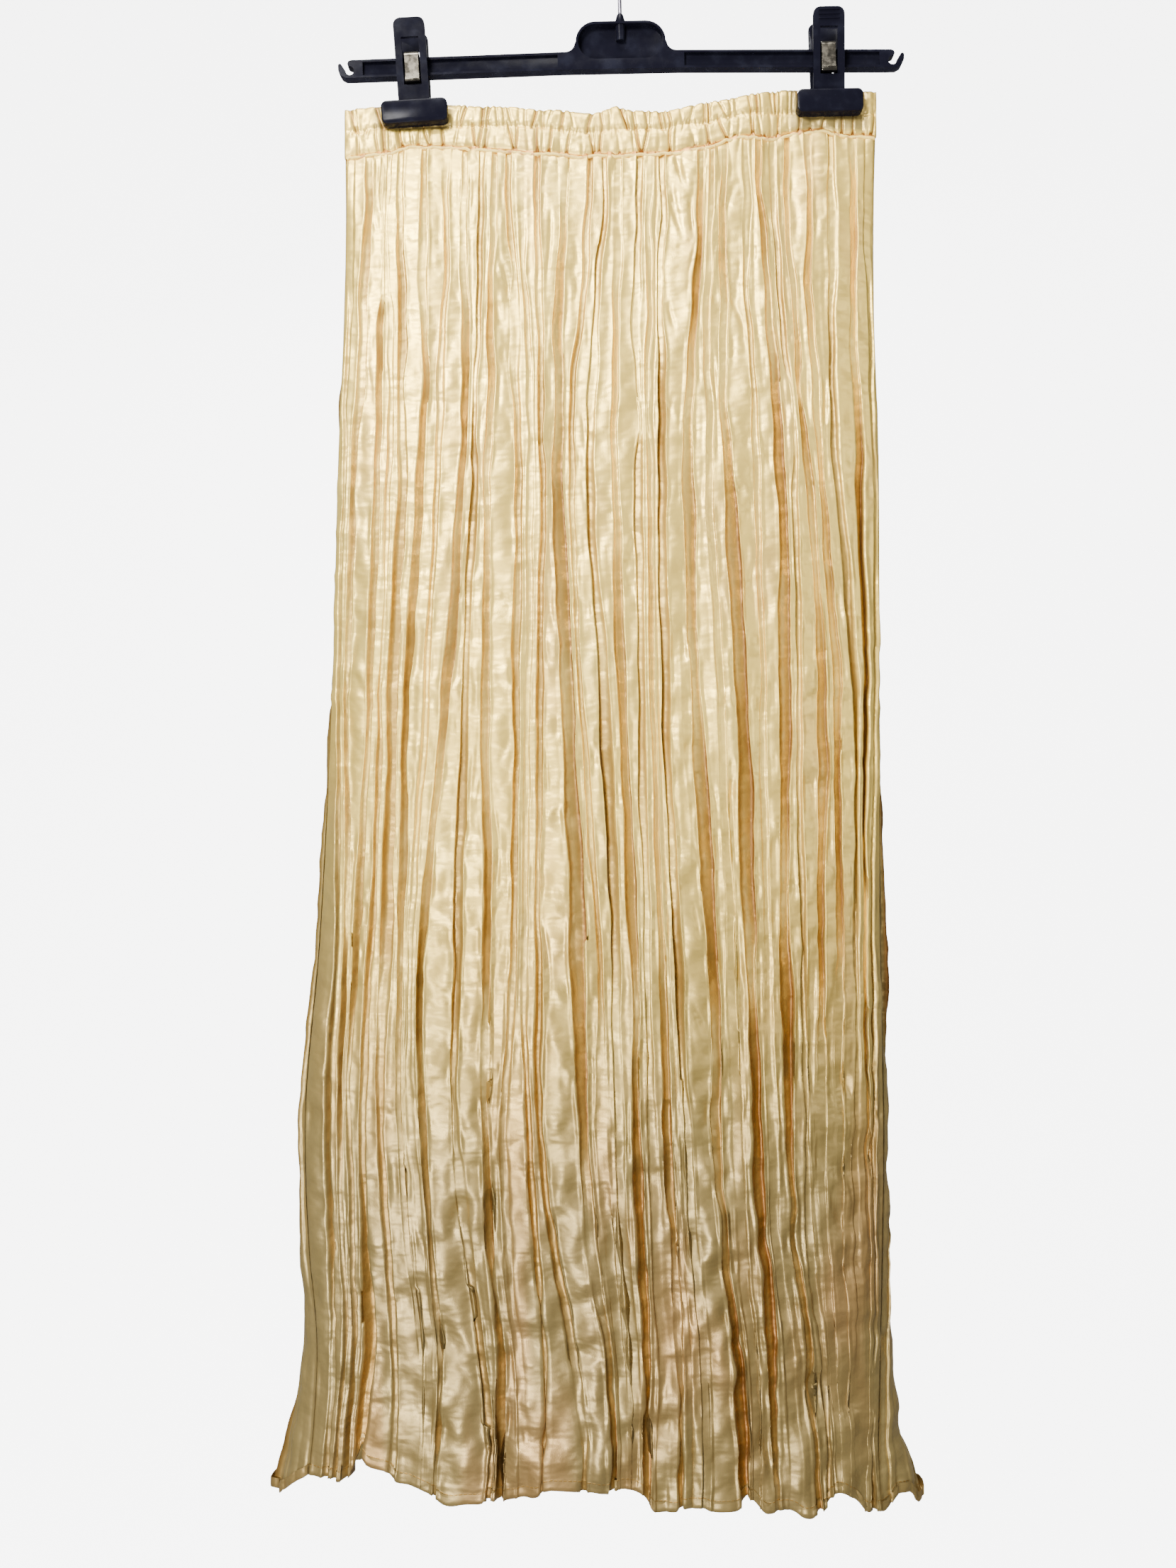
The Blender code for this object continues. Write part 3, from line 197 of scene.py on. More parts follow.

# Creases of the front: where each starts, how far it runs across and up, its depth (a ridge where
# negative) and its half width.
FRONT_CREASES = (
    (-166, -161, 19, -48, 0.5, 1.6), (-164, -208, 12, -33, 0.5, 1.6), (-157, -182, 11, -20, 0.4, 1.4),
    (-142, -167, -2, -33, 0.35, 1.2), (-118, -182, 3, -41, 0.5, 1.3), (-104, -152, 2, -39, 0.6, 1.3),
    (-102, -191, -1, -31, 0.5, 1.2), (-91, -161, -1, -31, 0.5, 1.3), (-86, -180, 5, -20, 0.35, 1.3),
    (-76, -171, 1, -38, 0.7, 1.4), (-75, -209, 13, -70, 0.7, 1.5), (-68, -228, 4, -21, 0.3, 1.2),
    (-49, -150, 1, -33, 0.5, 1.3), (-41, -182, -3, -49, 0.5, 1.3), (-37, -208, 6, -18, 0.4, 1.3),
    (-32, -227, -3, -43, 0.4, 1.3), (-10, -159, 18, -18, 0.5, 1.6), (0, -178, 1, -27, 0.4, 1.2),
    (-55, -200, -1, -31, 0.3, 1.2), (-66, -244, 11, 15, 0.35, 1.5), (-50, -242, -5, 11, 0.3, 2),
    (-119, -265, 6, 21, 0.3, 1.3), (-144, -266, 4, -28, 0.35, 1.3), (-109, -295, 9, 28, 0.4, 1.4),
    (-27, -270, 5, 9, 0.4, 1.5), (-5, -165, 12, -13, 0.5, 1.4), (-2, -176, 2, -27, 0.4, 1.2),
    (10, -163, -1, -20, 0.4, 1.2), (34, -147, 8, -27, 0.9, 1.6), (50, -173, -1, -49, 0.5, 1.3),
    (49, -222, 3, -40, 0.4, 1.3), (60, -150, -6, -15, 0.6, 1.4), (53, -165, -12, -66, 0.7, 1.5),
    (56, -197, 3, -49, 0.4, 1.2), (62, -153, 2, -23, 0.6, 1.3), (64, -176, -2, -21, 0.6, 1.3),
    (62, -197, 8, -37, 0.6, 1.4), (66, -234, 14, -42, 0.7, 1.6), (79, -275, 4, -34, 0.6, 1.5),
    (55, -243, -1, -67, 0.8, 1.5), (76, -332, 8, 9, 0.6, 1.8), (77, -176, 2, -33, 0.4, 1.2),
    (91, -147, 10, -14, 0.5, 1.3), (100, -161, 3, -25, 0.6, 1.3), (103, -186, -1, -24, 0.4, 1.2),
    (97, -226, 6, -5, 0.5, 1.4), (142, -147, 8, -41, 0.6, 2), (155, -158, -5, -31, 0.6, 1.3),
    (140, -198, 4, -24, 0.5, 1.3), (144, -222, 8, -43, 0.6, 1.4), (134, -231, 12, -7, 0.4, 1.4),
    (132, -263, 10, -1, 0.7, 1.6), (138, -269, -10, -12, 0.6, 1.5), (128, -281, -3, -41, 0.6, 1.5),
    (142, -269, 6, -62, 0.5, 1.5), (120, -317, 6, -13, 0.4, 1.4), (105, -331, 3, -30, 0.4, 1.3),
    (-86, -510, -4, -43, 0.6, 1.4), (-80, -525, -7, -24, 0.6, 1.3), (-76, -543, 2, -65, 0.4, 1),
    (-67, -601, -12, -27, 0.5, 1.6), (-46, -507, 4, -38, 0.4, 1.2), (-51, -555, 9, 0, 0.7, 1.5),
    (-40, -554, 12, -2, 0.4, 1.5), (-50, -592, 9, -2, 0.9, 2), (-51, -575, -4, -49, 0.6, 1.3),
    (-38, -592, 11, -3, 0.35, 1.5), (-37, -661, 9, 0, 0.5, 1.5), (-16, -561, 8, 0, 0.35, 1.5),
    (-16, -596, 11, -3, 0.35, 1.4), (6, -564, 8, -36, 0.5, 1.6), (8, -479, 10, -1, 0.4, 5),
    (6, -504, 11, -1, 0.4, 5), (23, -571, -1, -30, 0.4, 1.1), (22, -601, 4, -60, 0.4, 1.1),
    (44, -607, 4, -24, 0.4, 1.3), (50, -563, 8, -5, 0.5, 1.6), (64, -534, 5, 14, 0.5, 1.6),
    (42, -667, 9, -18, 0.5, 1.6), (-88, -632, 9, -5, 0.5, 2), (-70, -622, -5, -39, 0.4, 1.3),
    (-46, -616, 4, -60, 0.5, 1.3), (98, -555, 11, -1, 0.5, 1.6), (79, -564, 13, 5, 0.6, 1.6),
    (81, -528, 12, 6, 0.35, 1.6), (62, -557, 7, 26, 0.6, 1.6), (121, -555, 12, 3, 0.5, 1.6),
    (109, -581, 9, -4, 0.6, 1.8), (11, -400, 3, -1, 0.3, 5), (58, -418, 3, -1, 0.25, 5),
    (58, -438, 3, -1, 0.25, 5), (-122, -796, 15, -39, 0.9, 2.2), (-125, -816, 7, -36, 0.6, 1.5),
    (-120, -840, 10, -36, 0.6, 1.6), (-72, -776, -10, -33, 0.5, 1.6), (-63, -803, 8, 13, 0.6, 1.6),
    (-70, -783, 7, -20, 0.5, 1.4), (-51, -765, -7, -38, 0.6, 1.8), (-76, -813, 12, -7, -0.6, 3),
    (-48, -796, 5, -48, 0.5, 1.5), (-55, -809, 8, -20, 0.5, 1.8), (-44, -930, 12, 3, 0.8, 2.5),
    (-33, -927, 12, -8, 0.8, 2.5), (-145, -916, 10, -6, 0.5, 2), (-96, -875, 10, -15, 0.5, 1.8),
    (-4, -799, 5, 21, 0.5, 1.5), (4, -819, 3, -33, 0.5, 1.5), (-159, -793, 7, -26, 0.4, 1.3),
    (-154, -829, 8, 7, 0.6, 1.5), (-93, -809, 5, 0, 0.5, 1.3), (130, -698, 16, -32, 0.8, 3),
    (129, -766, 11, -36, -1.2, 3.2), (140, -802, 14, -21, -1.2, 3.4), (125, -778, 10, -32, 0.9, 2.4),
    (138, -820, 9, -11, 0.9, 2), (146, -831, 8, 5, 0.9, 2), (129, -818, 9, -13, 0.6, 1.8),
    (88, -820, 9, 2, 0.7, 1.8), (43, -802, 5, -7, 0.8, 1.6), (82, -718, 7, -13, 0.5, 1.6),
    (85, -743, 8, -7, 0.5, 1.6), (18, -865, 5, -49, 0.6, 1.6), (27, -874, -4, -35, 0.6, 1.6),
    (41, -891, 7, -17, 0.5, 1.8), (63, -909, 9, -23, 0.6, 2), (103, -865, 11, 9, 0.6, 1.8),
    (130, -861, 2, -21, 0.5, 1.5), (120, -924, 11, -20, 0.9, 2), (131, -944, 18, -9, 0.9, 2),
    (95, -703, 6, -58, 0.5, 1.5), (115, -728, 1, -58, 0.5, 1.5), (107, -868, 16, -45, 0.6, 2),
)
CREASE_DEPTH = 1.7
CREASE_LARGEST = 1.5
CREASE_ENDS = 0.3  # share of its length over which a crease fades at either end
CREASE_CORE = math.sqrt(3.5)  # how much narrower than a gather its dark core is
CREASE_WANDER = 0.05  # sideways bend of a crease as a share of its length
SEEN_SMALL_CREASES = 620  # short ones between the placed ones, on the front
HIDDEN_CREASES = 420

# ------------------------------------------------------------------ waistband sizes
BAND_COLUMNS = ("across", "top", "row", "seam")
BAND_LINES = (
    (-168.0, -120.9, -135.2, -151.1),
    (-160.0, -119.9, -134.5, -149.7),
    (-150.0, -119.2, -133.2, -148.4),
    (-137.7, -118.9, -132.7, -146.9),
    (-133.0, -118.7, -132.5, -144.8),
    (-118.0, -118.3, -132.0, -144.3),
    (-104.0, -117.9, -131.5, -144.4),
    (-87.0, -120.1, -132.8, -147.0),
    (-70.0, -120.4, -132.9, -147.8),
    (-50.0, -122.3, -133.5, -149.5),
    (-35.0, -123.0, -135.5, -150.2),
    (-20.0, -124.7, -137.1, -151.6),
    (-13.0, -123.9, -136.8, -150.4),
    (-1.0, -120.6, -135.2, -150.9),
    (6.0, -122.5, -134.9, -150.1),
    (15.0, -123.3, -134.8, -149.6),
    (30.0, -122.9, -134.1, -149.3),
    (40.0, -121.4, -132.0, -148.2),
    (53.0, -117.9, -131.0, -145.2),
    (67.0, -116.0, -127.6, -141.5),
    (83.0, -112.2, -124.8, -138.8),
    (90.0, -111.1, -124.7, -139.8),
    (99.0, -109.5, -123.6, -138.1),
    (111.0, -108.9, -123.5, -135.3),
    (125.0, -109.0, -123.9, -133.9),
    (135.0, -109.3, -124.0, -136.2),
    (145.0, -109.6, -124.0, -137.2),
    (161.0, -109.4, -124.0, -137.8),
)
BAND_ENDS = (-168.6, 159.4)
BAND_SLIT = 0.3
BAND_BOW = 4.0
BOW_PLATEAU = 82.0
BOW_END = 104.0
BOW_FADE = 0.12
BAND_PRESSED = 2.6
BAND_HEIGHT = 28.0  # its usual height, for its noise and UVs
BAND_END_RUN = 4.0  # how far from its ends it is at its full thickness
SEAM_ROPE_RADIUS = 1.05
SEAM_ROPE_DROP = 1.3  # how far the rope hangs below the waist seam
# The casing's outside from its top edge to the waist seam: share of the height and thickness.
CASING = ((0.0, 0.9), (0.03, 1.7), (0.10, 2.5), (0.26, 3.0), (0.40, 2.9), (0.47, 2.3), (0.50, 1.9),
          (0.54, 2.4), (0.66, 3.1), (0.82, 3.2), (0.93, 2.8), (0.97, 2.2), (1.0, 1.5))
# Creases over the upper and the lower elastic: across at their heads and at their feet, depth
# and half width.
UPPER_CREASES = (
    (-165.1, -161.7, 0.9, 1.5), (-162.4, -160.7, 0.5, 0.7), (-156.0, -157.5, 0.3, 1.6),
    (-149.1, -144.4, 0.9, 1.5), (-141.0, -142.5, 0.6, 0.9), (-112.0, -110.0, 0.5, 1.0),
    (-96.4, -98.4, 0.5, 0.8), (-93.0, -97.4, 1.0, 0.8), (-88.6, -88.0, 0.3, 1.4),
    (-83.1, -83.7, 1.0, 1.2), (-78.4, -80.4, 0.9, 0.9), (-75.0, -73.7, 0.5, 0.9),
    (-70.9, -69.9, 0.6, 0.8), (-68.2, -64.9, 0.6, 0.8), (-60.5, -60.0, 0.3, 1.2),
    (-56.9, -57.2, 0.4, 1.0), (-50.2, -52.9, 1.1, 0.9), (-45.5, -46.2, 0.7, 1.4),
    (-40.2, -43.5, 0.4, 0.9), (-33.5, -35.5, 1.0, 0.9), (-29.5, -27.2, 0.4, 0.8),
    (-15.5, -18.9, 1.0, 1.2), (-10.9, -8.9, 0.7, 0.9), (-5.5, -4.9, 0.4, 1.0),
    (1.1, 5.8, 1.2, 1.2), (4.6, 6.6, 0.6, 0.8), (9.1, 10.5, 0.7, 1.0), (16.5, 17.8, 0.8, 1.1),
    (20.5, 19.8, 0.6, 0.8), (25.1, 27.1, 1.0, 0.8), (27.6, 29.9, 0.7, 0.8), (30.0, 32.6, 0.8, 0.8),
    (38.6, 40.0, 0.4, 0.9), (46.6, 44.0, 0.5, 0.8), (53.0, 52.7, 0.8, 0.8), (55.2, 55.6, 1.1, 0.8),
    (57.4, 57.0, 0.5, 0.7), (61.3, 66.6, 0.7, 0.9), (68.0, 69.3, 0.6, 0.9), (72.0, 72.6, 0.6, 1.4),
    (80.0, 82.2, 0.7, 0.8), (84.3, 85.7, 1.1, 0.8), (86.8, 87.4, 0.6, 0.7), (94.0, 95.3, 0.7, 0.8),
    (96.6, 97.0, 1.0, 0.8), (99.6, 99.0, 0.5, 0.8), (104.7, 104.7, 0.5, 0.9),
    (108.2, 107.8, 0.6, 0.8), (110.2, 110.9, 1.0, 0.8), (151.5, 151.8, 0.6, 1.0),
    (157.8, 157.0, 0.4, 1.0),
)
LOWER_CREASES = (
    (-160.7, -160.1, 0.6, 0.9), (-155.0, -156.2, 0.3, 1.4), (-149.4, -147.4, 0.7, 0.7),
    (-144.7, -144.1, 1.0, 1.2), (-141.2, -140.6, 0.4, 0.9), (-136.4, -134.6, 0.6, 0.9),
    (-134.4, -132.7, 1.0, 0.7), (-128.4, -127.0, 0.5, 1.0), (-122.0, -123.0, 0.6, 0.9),
    (-120.0, -115.9, 0.8, 0.8), (-114.4, -115.2, 0.6, 0.7), (-109.0, -107.7, 0.9, 0.8),
    (-98.4, -101.0, 0.5, 0.9), (-93.0, -94.6, 0.3, 1.4), (-89.4, -87.5, 1.1, 0.8),
    (-83.7, -86.4, 1.0, 0.9), (-80.0, -82.0, 0.8, 1.6), (-73.8, -74.6, 0.3, 1.2),
    (-67.4, -63.9, 1.0, 0.9), (-62.0, -63.0, 1.0, 0.8), (-56.0, -55.0, 0.3, 1.4),
    (-49.9, -49.5, 1.1, 1.3), (-46.2, -47.0, 0.4, 0.8), (-40.7, -42.5, 1.0, 0.8),
    (-35.0, -35.4, 0.3, 1.2), (-29.2, -31.5, 0.9, 0.7), (-22.4, -22.0, 0.3, 1.2),
    (-17.5, -15.2, 1.0, 0.9), (-14.2, -14.3, 0.7, 0.7), (-10.2, -11.7, 1.0, 0.8),
    (-0.9, 1.1, 0.4, 1.0), (8.5, 10.0, 0.4, 0.9), (11.1, 14.0, 1.1, 0.9), (18.1, 14.8, 1.0, 0.9),
    (25.0, 24.6, 0.3, 1.4), (31.6, 31.8, 1.0, 0.7), (36.0, 35.2, 0.4, 0.9), (43.3, 47.0, 0.5, 1.6),
    (53.8, 55.6, 1.0, 0.9), (61.6, 67.0, 1.1, 0.7), (69.0, 68.4, 0.4, 0.9), (74.6, 73.4, 0.4, 1.0),
    (81.4, 82.3, 1.0, 0.8), (83.4, 83.0, 0.8, 0.8), (85.3, 87.6, 0.6, 0.9), (93.2, 94.0, 0.4, 1.0),
    (99.3, 98.3, 1.0, 0.7), (105.2, 105.6, 0.3, 1.0), (111.7, 111.1, 0.9, 0.8),
    (118.0, 118.6, 0.3, 1.2), (128.0, 125.7, 0.8, 0.9), (133.8, 134.0, 0.5, 0.9),
    (137.3, 137.8, 1.0, 0.7), (144.6, 144.6, 1.0, 0.6), (150.6, 151.0, 0.5, 0.8),
    (158.0, 156.4, 0.9, 1.0),
)
SEAM_KNOTS = (-132.7, -123.0, -115.6, -107.7, -87.2, -81.8, -63.5, -49.5, -42.5, -31.6, -14.8, -11.6,
              1.0, 14.3, 31.8, 47.4, 56.0, 67.0, 71.6, 82.7, 90.0, 98.4, 111.2, 118.4, 125.5, 137.8,
              144.6, 151.2, 155.5)
STITCH_PUCKERS = 150
LOWER_GATHERS = (-166, -161, -155, -149, -145, -139, -134, -127, -121, -115, -108, -101, -94, -87,
                 -81, -75, -69, -64, -57, -50, -42, -37, -31, -23, -16, -9, -1, 7, 14, 19, 23, 27,
                 31, 38, 47, 56, 61, 67, 75, 82, 91, 98, 105, 111, 119, 128, 138, 144, 151, 157)
PUFF_PER_MM = 0.15  # height of a puff between two gathers for each mm between them
PUFF_LARGEST = 1.2
PUFF_SHAPE = 0.65
WAIST_PUFF_FADE = 15.0  # how far below the waist seam the gathers fade
GATHER_LEAN = 2.2  # sideways lean of a gather over a channel
MIRROR = -8.0  # sum of a place in front and its mirrored place behind
HEM_STITCH = 2.8  # length of a stitch with its gap

# ------------------------------------------------------------------ hanger sizes
HANGER_TILT = 1.15
WIRE_RADIUS = 1.2
HOOK_INSIDE = 20.0
HOOK_TURN = (-25.0, 250.0)
BOSS_TOP = -62.0
EDGE_ROUND = {"hanger_bar": 0.45, "clip": 0.4, "spring": 0.12}
JAW_CENTRES = (-126.0, 129.6)
JAW_HALF = 24.0
JAW_FOOT = -136.0

# ------------------------------------------------------------------ colours (linear)
IVORY = (0.900, 0.640, 0.145, 1.0)
# painted shade: the lower cloth darker and more golden, as the light falls off towards the hem, in two
# hues mixed in patches
LOWER_SHADE_HONEY = (0.182, 0.131, 0.060, 1.0)
LOWER_SHADE_AMBER = (0.218, 0.118, 0.051, 1.0)
PALE_GREEN = (0.820, 0.660, 0.210, 1.0)
PEACH = (0.900, 0.570, 0.160, 1.0)
# painted shade in the folds' floors, deeper folds darker
RECESS_SHADE = (0.300, 0.165, 0.030, 1.0)
# painted shade on cloth turned away from the light and under the jaws
SHADE_OLIVE = (0.330, 0.245, 0.090, 1.0)
# painted shade, dark brown, in undercut corners, crease troughs, gathers and seam knots
CLEFT_SHADE = (0.180, 0.070, 0.010, 1.0)
# painted shade along the waist seam, under the casing's lower edge and in the side seams
SEAM_SHADE_CORAL = (0.420, 0.150, 0.030, 1.0)
PEACH_SHADE = (0.560, 0.270, 0.080, 1.0)
NAVY_BLACK = (0.0045, 0.0045, 0.0085, 1.0)
NAVY_WORN = (0.009, 0.0095, 0.016, 1.0)
HOOK_GREY = (0.42, 0.40, 0.48, 1.0)
SPRING_SILVER = (0.17, 0.155, 0.125, 1.0)
WALL_WHITE = (0.90, 0.90, 0.90, 1.0)
WALL_GLOW = 6.0
LOWER_SHADE_HEIGHTS = (-0.50, -0.82)  # where the painted lower shade starts and where it is full, in metres


# ------------------------------------------------------------------ working helpers
def column(table, columns, name):
    """One named column of a table of rows."""
    place = columns.index(name)
    return np.array([row[place] for row in table])


def smooth_table(at, places, values):
    """A smooth curve through a table: between two rows the value is the cubic that has the
    rows' values and slopes, each slope taken from the rows on either side."""
    places = np.asarray(places, float)
    values = np.asarray(values, float)
    slopes = np.gradient(values, places, axis=0)
    row = np.clip(np.searchsorted(places, at) - 1, 0, len(places) - 2)
    step = places[row + 1] - places[row]
    t = np.clip((at - places[row]) / step, 0, 1)
    if values.ndim == 2:
        t, step = t[:, None], step[:, None]
    from_here = (2 * t**3 - 3 * t**2 + 1) * values[row] + (t**3 - 2 * t**2 + t) * step * slopes[row]
    from_next = (3 * t**2 - 2 * t**3) * values[row + 1] + (t**3 - t**2) * step * slopes[row + 1]
    return from_here + from_next


def ease(t):
    """0 to 1 with level ends: 3t^2 - 2t^3."""
    t = np.clip(t, 0.0, 1.0)
    return t * t * (3 - 2 * t)


def bell(side):
    """1 at 0, falling away as exp(-side^2)."""
    return np.exp(-np.clip(side * side, 0, 30))


def fading_ends(t):
    """1 along the middle of a crease that runs from t = 0 to 1, easing to 0 at both ends."""
    return ease(t / CREASE_ENDS) * ease((1 - t) / CREASE_ENDS)


def crinkle(u, v, cell_u, cell_v, seed):
    """Smooth noise from -1 to 1: random heights at the corners of cells, eased between them."""
    lattice = np.random.default_rng(seed).uniform(-1, 1, (64, 256))
    a, b = u / cell_u, v / cell_v
    i, j = np.floor(a).astype(int), np.floor(b).astype(int)
    fa, fb = ease(a - i), ease(b - j)
    corner = [lattice[(i + m) % 64, (j + n) % 256] for m in (0, 1) for n in (0, 1)]
    near = corner[0] * (1 - fb) + corner[1] * fb
    far = corner[2] * (1 - fb) + corner[3] * fb
    return near * (1 - fa) + far * fa


def grid_normals(points):
    """Unit normals of a grid of points: the cross product of its differences along both ways."""
    down = np.gradient(points, axis=0)
    across = np.gradient(points, axis=1)
    normal = np.cross(down, across)
    return normal / np.maximum(np.linalg.norm(normal, axis=2), 1e-9)[..., None]


def grid_faces(rows, columns, wrap_rows=False):
    """Quads of a grid, row by row; wrap_rows joins the last row to the first."""
    i = np.arange(rows if wrap_rows else rows - 1)[:, None]
    j = np.arange(columns - 1)[None, :]
    after = (i + 1) % rows
    corners = (i * columns + j, after * columns + j, after * columns + j + 1, i * columns + j + 1)
    return np.stack(np.broadcast_arrays(*corners), axis=-1).reshape(-1, 4)


def add_mesh(name, points_mm, faces, finish, uv=None, marks=None, smooth=True):
    """A piece from points in millimetres and faces of one size, with its UVs and attributes."""
    mesh = bpy.data.meshes.new(name)
    flat = np.asarray(points_mm, float).reshape(-1, 3) * MM
    faces = np.asarray(faces)
    corners = faces.shape[1]
    mesh.vertices.add(len(flat))
    mesh.vertices.foreach_set("co", flat.ravel())
    mesh.loops.add(faces.size)
    mesh.loops.foreach_set("vertex_index", faces.ravel())
    mesh.polygons.add(len(faces))
    mesh.polygons.foreach_set("loop_start", np.arange(0, faces.size, corners))
    mesh.update(calc_edges=True)
    mesh.polygons.foreach_set("use_smooth", np.full(len(faces), smooth))
    if uv is not None:
        layer = mesh.uv_layers.new(name="cloth")
        layer.data.foreach_set("uv", (np.asarray(uv).reshape(-1, 2)[faces.ravel()] * MM).ravel())
    for mark, values in (marks or {}).items():
        stored = mesh.attributes.new(mark, "FLOAT", "POINT")
        stored.data.foreach_set("value", np.asarray(values, float).ravel())
    mesh.materials.append(finish)
    piece = bpy.data.objects.new(name, mesh)
    bpy.context.scene.collection.objects.link(piece)
    return piece


# ------------------------------------------------------------------ the flattened tube
def ring_share(height):
    """How far down the skirt a height is: 0 at the waist seam, 1 at the hem."""
    return (height - WAIST_NOMINAL) / (HEM_NOMINAL - WAIST_NOMINAL)


def bow(across):
    """How far the waist bows away from the middle plane between the clips."""
    return BAND_BOW * ease((BOW_END - np.abs(across)) / (BOW_END - BOW_PLATEAU))


def band_height(across, name):
    """Height of one of the waistband's lines: top, row or seam."""
    places = column(BAND_LINES, BAND_COLUMNS, "across")
    return smooth_table(np.clip(across, places[0], places[-1]), places,
                        column(BAND_LINES, BAND_COLUMNS, name))


def outline_at(height):
    """The outline's columns at one height, as a dictionary."""
    heights = -column(OUTLINE, OUTLINE_COLUMNS, "height")
    rows = np.array([row[1:] for row in OUTLINE])
    values = smooth_table(np.array([-height]), heights, rows)[0]
    return dict(zip(OUTLINE_COLUMNS[1:], values))


def section(height, side):
    """The section's middle line for the front or back, from left seam to right seam: a blunt
    lens |x/w|^p + (y/b)^2 = 1, with p chosen so that its edges have the tip radius, which near
    the waist follows the bowed waistband."""
    here = outline_at(height)
    half = here["depth"] / 2
    share = ring_share(height)
    tip = TIP_RADIUS + (TIP_RADIUS_HEM - TIP_RADIUS) * share
    middle, width = (here["left"] + here["right"]) / 2, (here["right"] - here["left"]) / 2
    power = max(2.0, 2 * width * tip / half**2)
    u = np.sin(np.linspace(-1, 1, LINE_SAMPLES) * math.pi / 2)
    x = middle + width * u
    lens = half * np.sqrt(np.clip(1 - np.abs(u) ** power, 0, 1))
    lens = lens + bow(x) * max(0.0, 1 - share / BOW_FADE)
    front, back = np.stack([x, -lens], axis=1), np.stack([x, lens], axis=1)
    left_seam, right_seam = min(here["left_seam"], 1.0), min(here["right_seam"], 1.0)
    before, after = u < -left_seam, u > right_seam
    if side == "front":
        line = front[~before & ~after]
    else:
        line = np.concatenate([front[before][::-1], back[1:-1], front[after][::-1]])
    along = np.concatenate([[0.0], np.cumsum(np.hypot(*np.diff(line, axis=0).T))])
    return along, line


def place_on(line, along, where):
    """Points of the middle line at the given distances, and the normals that point out."""
    x, y = np.interp(where, along, line[:, 0]), np.interp(where, along, line[:, 1])
    ahead = np.minimum(where + TANGENT_REACH, along[-1])
    behind = np.maximum(where - TANGENT_REACH, 0.0)
    dx = np.interp(ahead, along, line[:, 0]) - np.interp(behind, along, line[:, 0])
    dy = np.interp(ahead, along, line[:, 1]) - np.interp(behind, along, line[:, 1])
    length = np.hypot(dx, dy)
    return np.stack([x, y], axis=1), np.stack([dy, -dx], axis=1) / length[:, None]


# ------------------------------------------------------------------ folds
def hidden_folds(count):
    """Folds of the same kind for the back: places, widths and depths wander by sines."""
    rows = []
    for k in range(count):
        place, step = BACK_PLACE
        start = 100 * (k + 0.5) / count + place * math.sin(step * k)
        drift, step, level_step = BACK_DRIFT
        levels = range(len(STATIONS))
        centres = [start + drift * math.sin(step * k + level_step * level) for level in levels]
        mean, swing, step = BACK_WIDE
        wide = mean + swing * math.sin(step * k + 1)
        mean, swing, step = BACK_DEEP
        deep = mean + swing * math.sin(step * k)
        swing, step = BACK_DROP
        drop = swing * math.sin(step * k + 0.5)
        waist_wide, waist_deep = BACK_WAIST
        widths = (waist_wide, wide, (wide + waist_wide) / 2)
        beside_seam = min(k, count - 1 - k) < 2
        depths = (waist_deep, deep, 0.25 * deep if beside_seam else deep)
        rows.append((*centres, *widths, *depths, drop, 1.0, math.sin(BACK_UNDER_STEP * k)))
    return tuple(rows)


def gone_down(z, start, run):
    """0 above the height start, easing to 1 once it is run lower."""
    return ease((start - z) / run)


def fold_values(folds, heights):
    """Centres, sways, widths and depths of every fold at every height: smooth between the
    stations, and swelled or shifted by sines down the skirt that differ from fold to fold."""
    levels = -np.array(STATIONS)
    three = levels[[0, 2, 5]]
    at = np.clip(-heights, levels[0], levels[-1])
    k = np.arange(len(folds))[None, :]
    z = heights[:, None]

    def smooth(names, places):
        return smooth_table(at, places, np.array([column(folds, FOLD_COLUMNS, name) for name in names]))

    def ripple(length, step):
        return np.sin(z / length + step * k)

    centres = smooth(FOLD_COLUMNS[:6], levels)
    widths, depths = smooth(FOLD_COLUMNS[6:9], three), smooth(FOLD_COLUMNS[9:12], three)
    fade = gone_down(z, *SWAYS)
    sway = 0.7 * ripple(37, 2.3) * ripple(61, 0.9)
    sway += 0.25 * ripple(15, 1.7) + 0.16 * ripple(6.7, 2.9)
    sway = sway * (1 + 1.1 * ease((z + 420) / 120))
    breathe = 1 + 0.22 * ripple(31, 4.1) + 0.13 * ripple(12, 1.3)
    high, low = 1 - gone_down(z, *STEADIES), gone_down(z, *SWELLS)
    swell = 1 + (0.22 + 0.4 * high) * ripple(27, 2.7)
    swell += (0.25 + 0.35 * low) * ripple(90 - 25 * low, 5.2)
    relaxing = np.clip(1 - column(folds, FOLD_COLUMNS, "deep_hem") / SHALLOW, 0, 1)[None, :]
    depths = depths * (1 - 0.7 * relaxing * gone_down(z, *RELAXES))
    widths = widths * (1 - 0.3 * gone_down(z, *NARROWS)) * (1 + (breathe - 1) * fade)
    return centres, sway * fade, widths, depths * np.maximum(swell, 0.1)


def squeeze_folds(centre, width, deep):
    """Half mouths, half floors and depths, made smaller where folds would crowd each other."""
    floor = np.maximum(width, RECESS_LEAST) / 2
    slope = np.maximum(FOLD_RUN * deep + FOLD_RUN_LEAST, FOLD_RUN_SHALLOW * (1 - deep / SHALLOW))
    mouth = floor + slope
    fits = (np.diff(centre) - FACET_LEAST) / (mouth[1:] + mouth[:-1])
    tight = np.minimum(np.concatenate([[1.0], fits]), np.concatenate([fits, [1.0]]))
    mouth = mouth * np.clip(tight, SQUEEZE_LEAST, 1.0)
    deep = deep * np.clip((mouth - MOUTH_CLOSED) / (MOUTH_FREE - MOUTH_CLOSED), 0.0, 1.0)
    return mouth, np.minimum(floor, mouth * FLOOR_SHARE), deep


WALL_STEPS = (0.0, 0.4, 1.0)
FLOOR_STEPS = (0.33, 0.67)


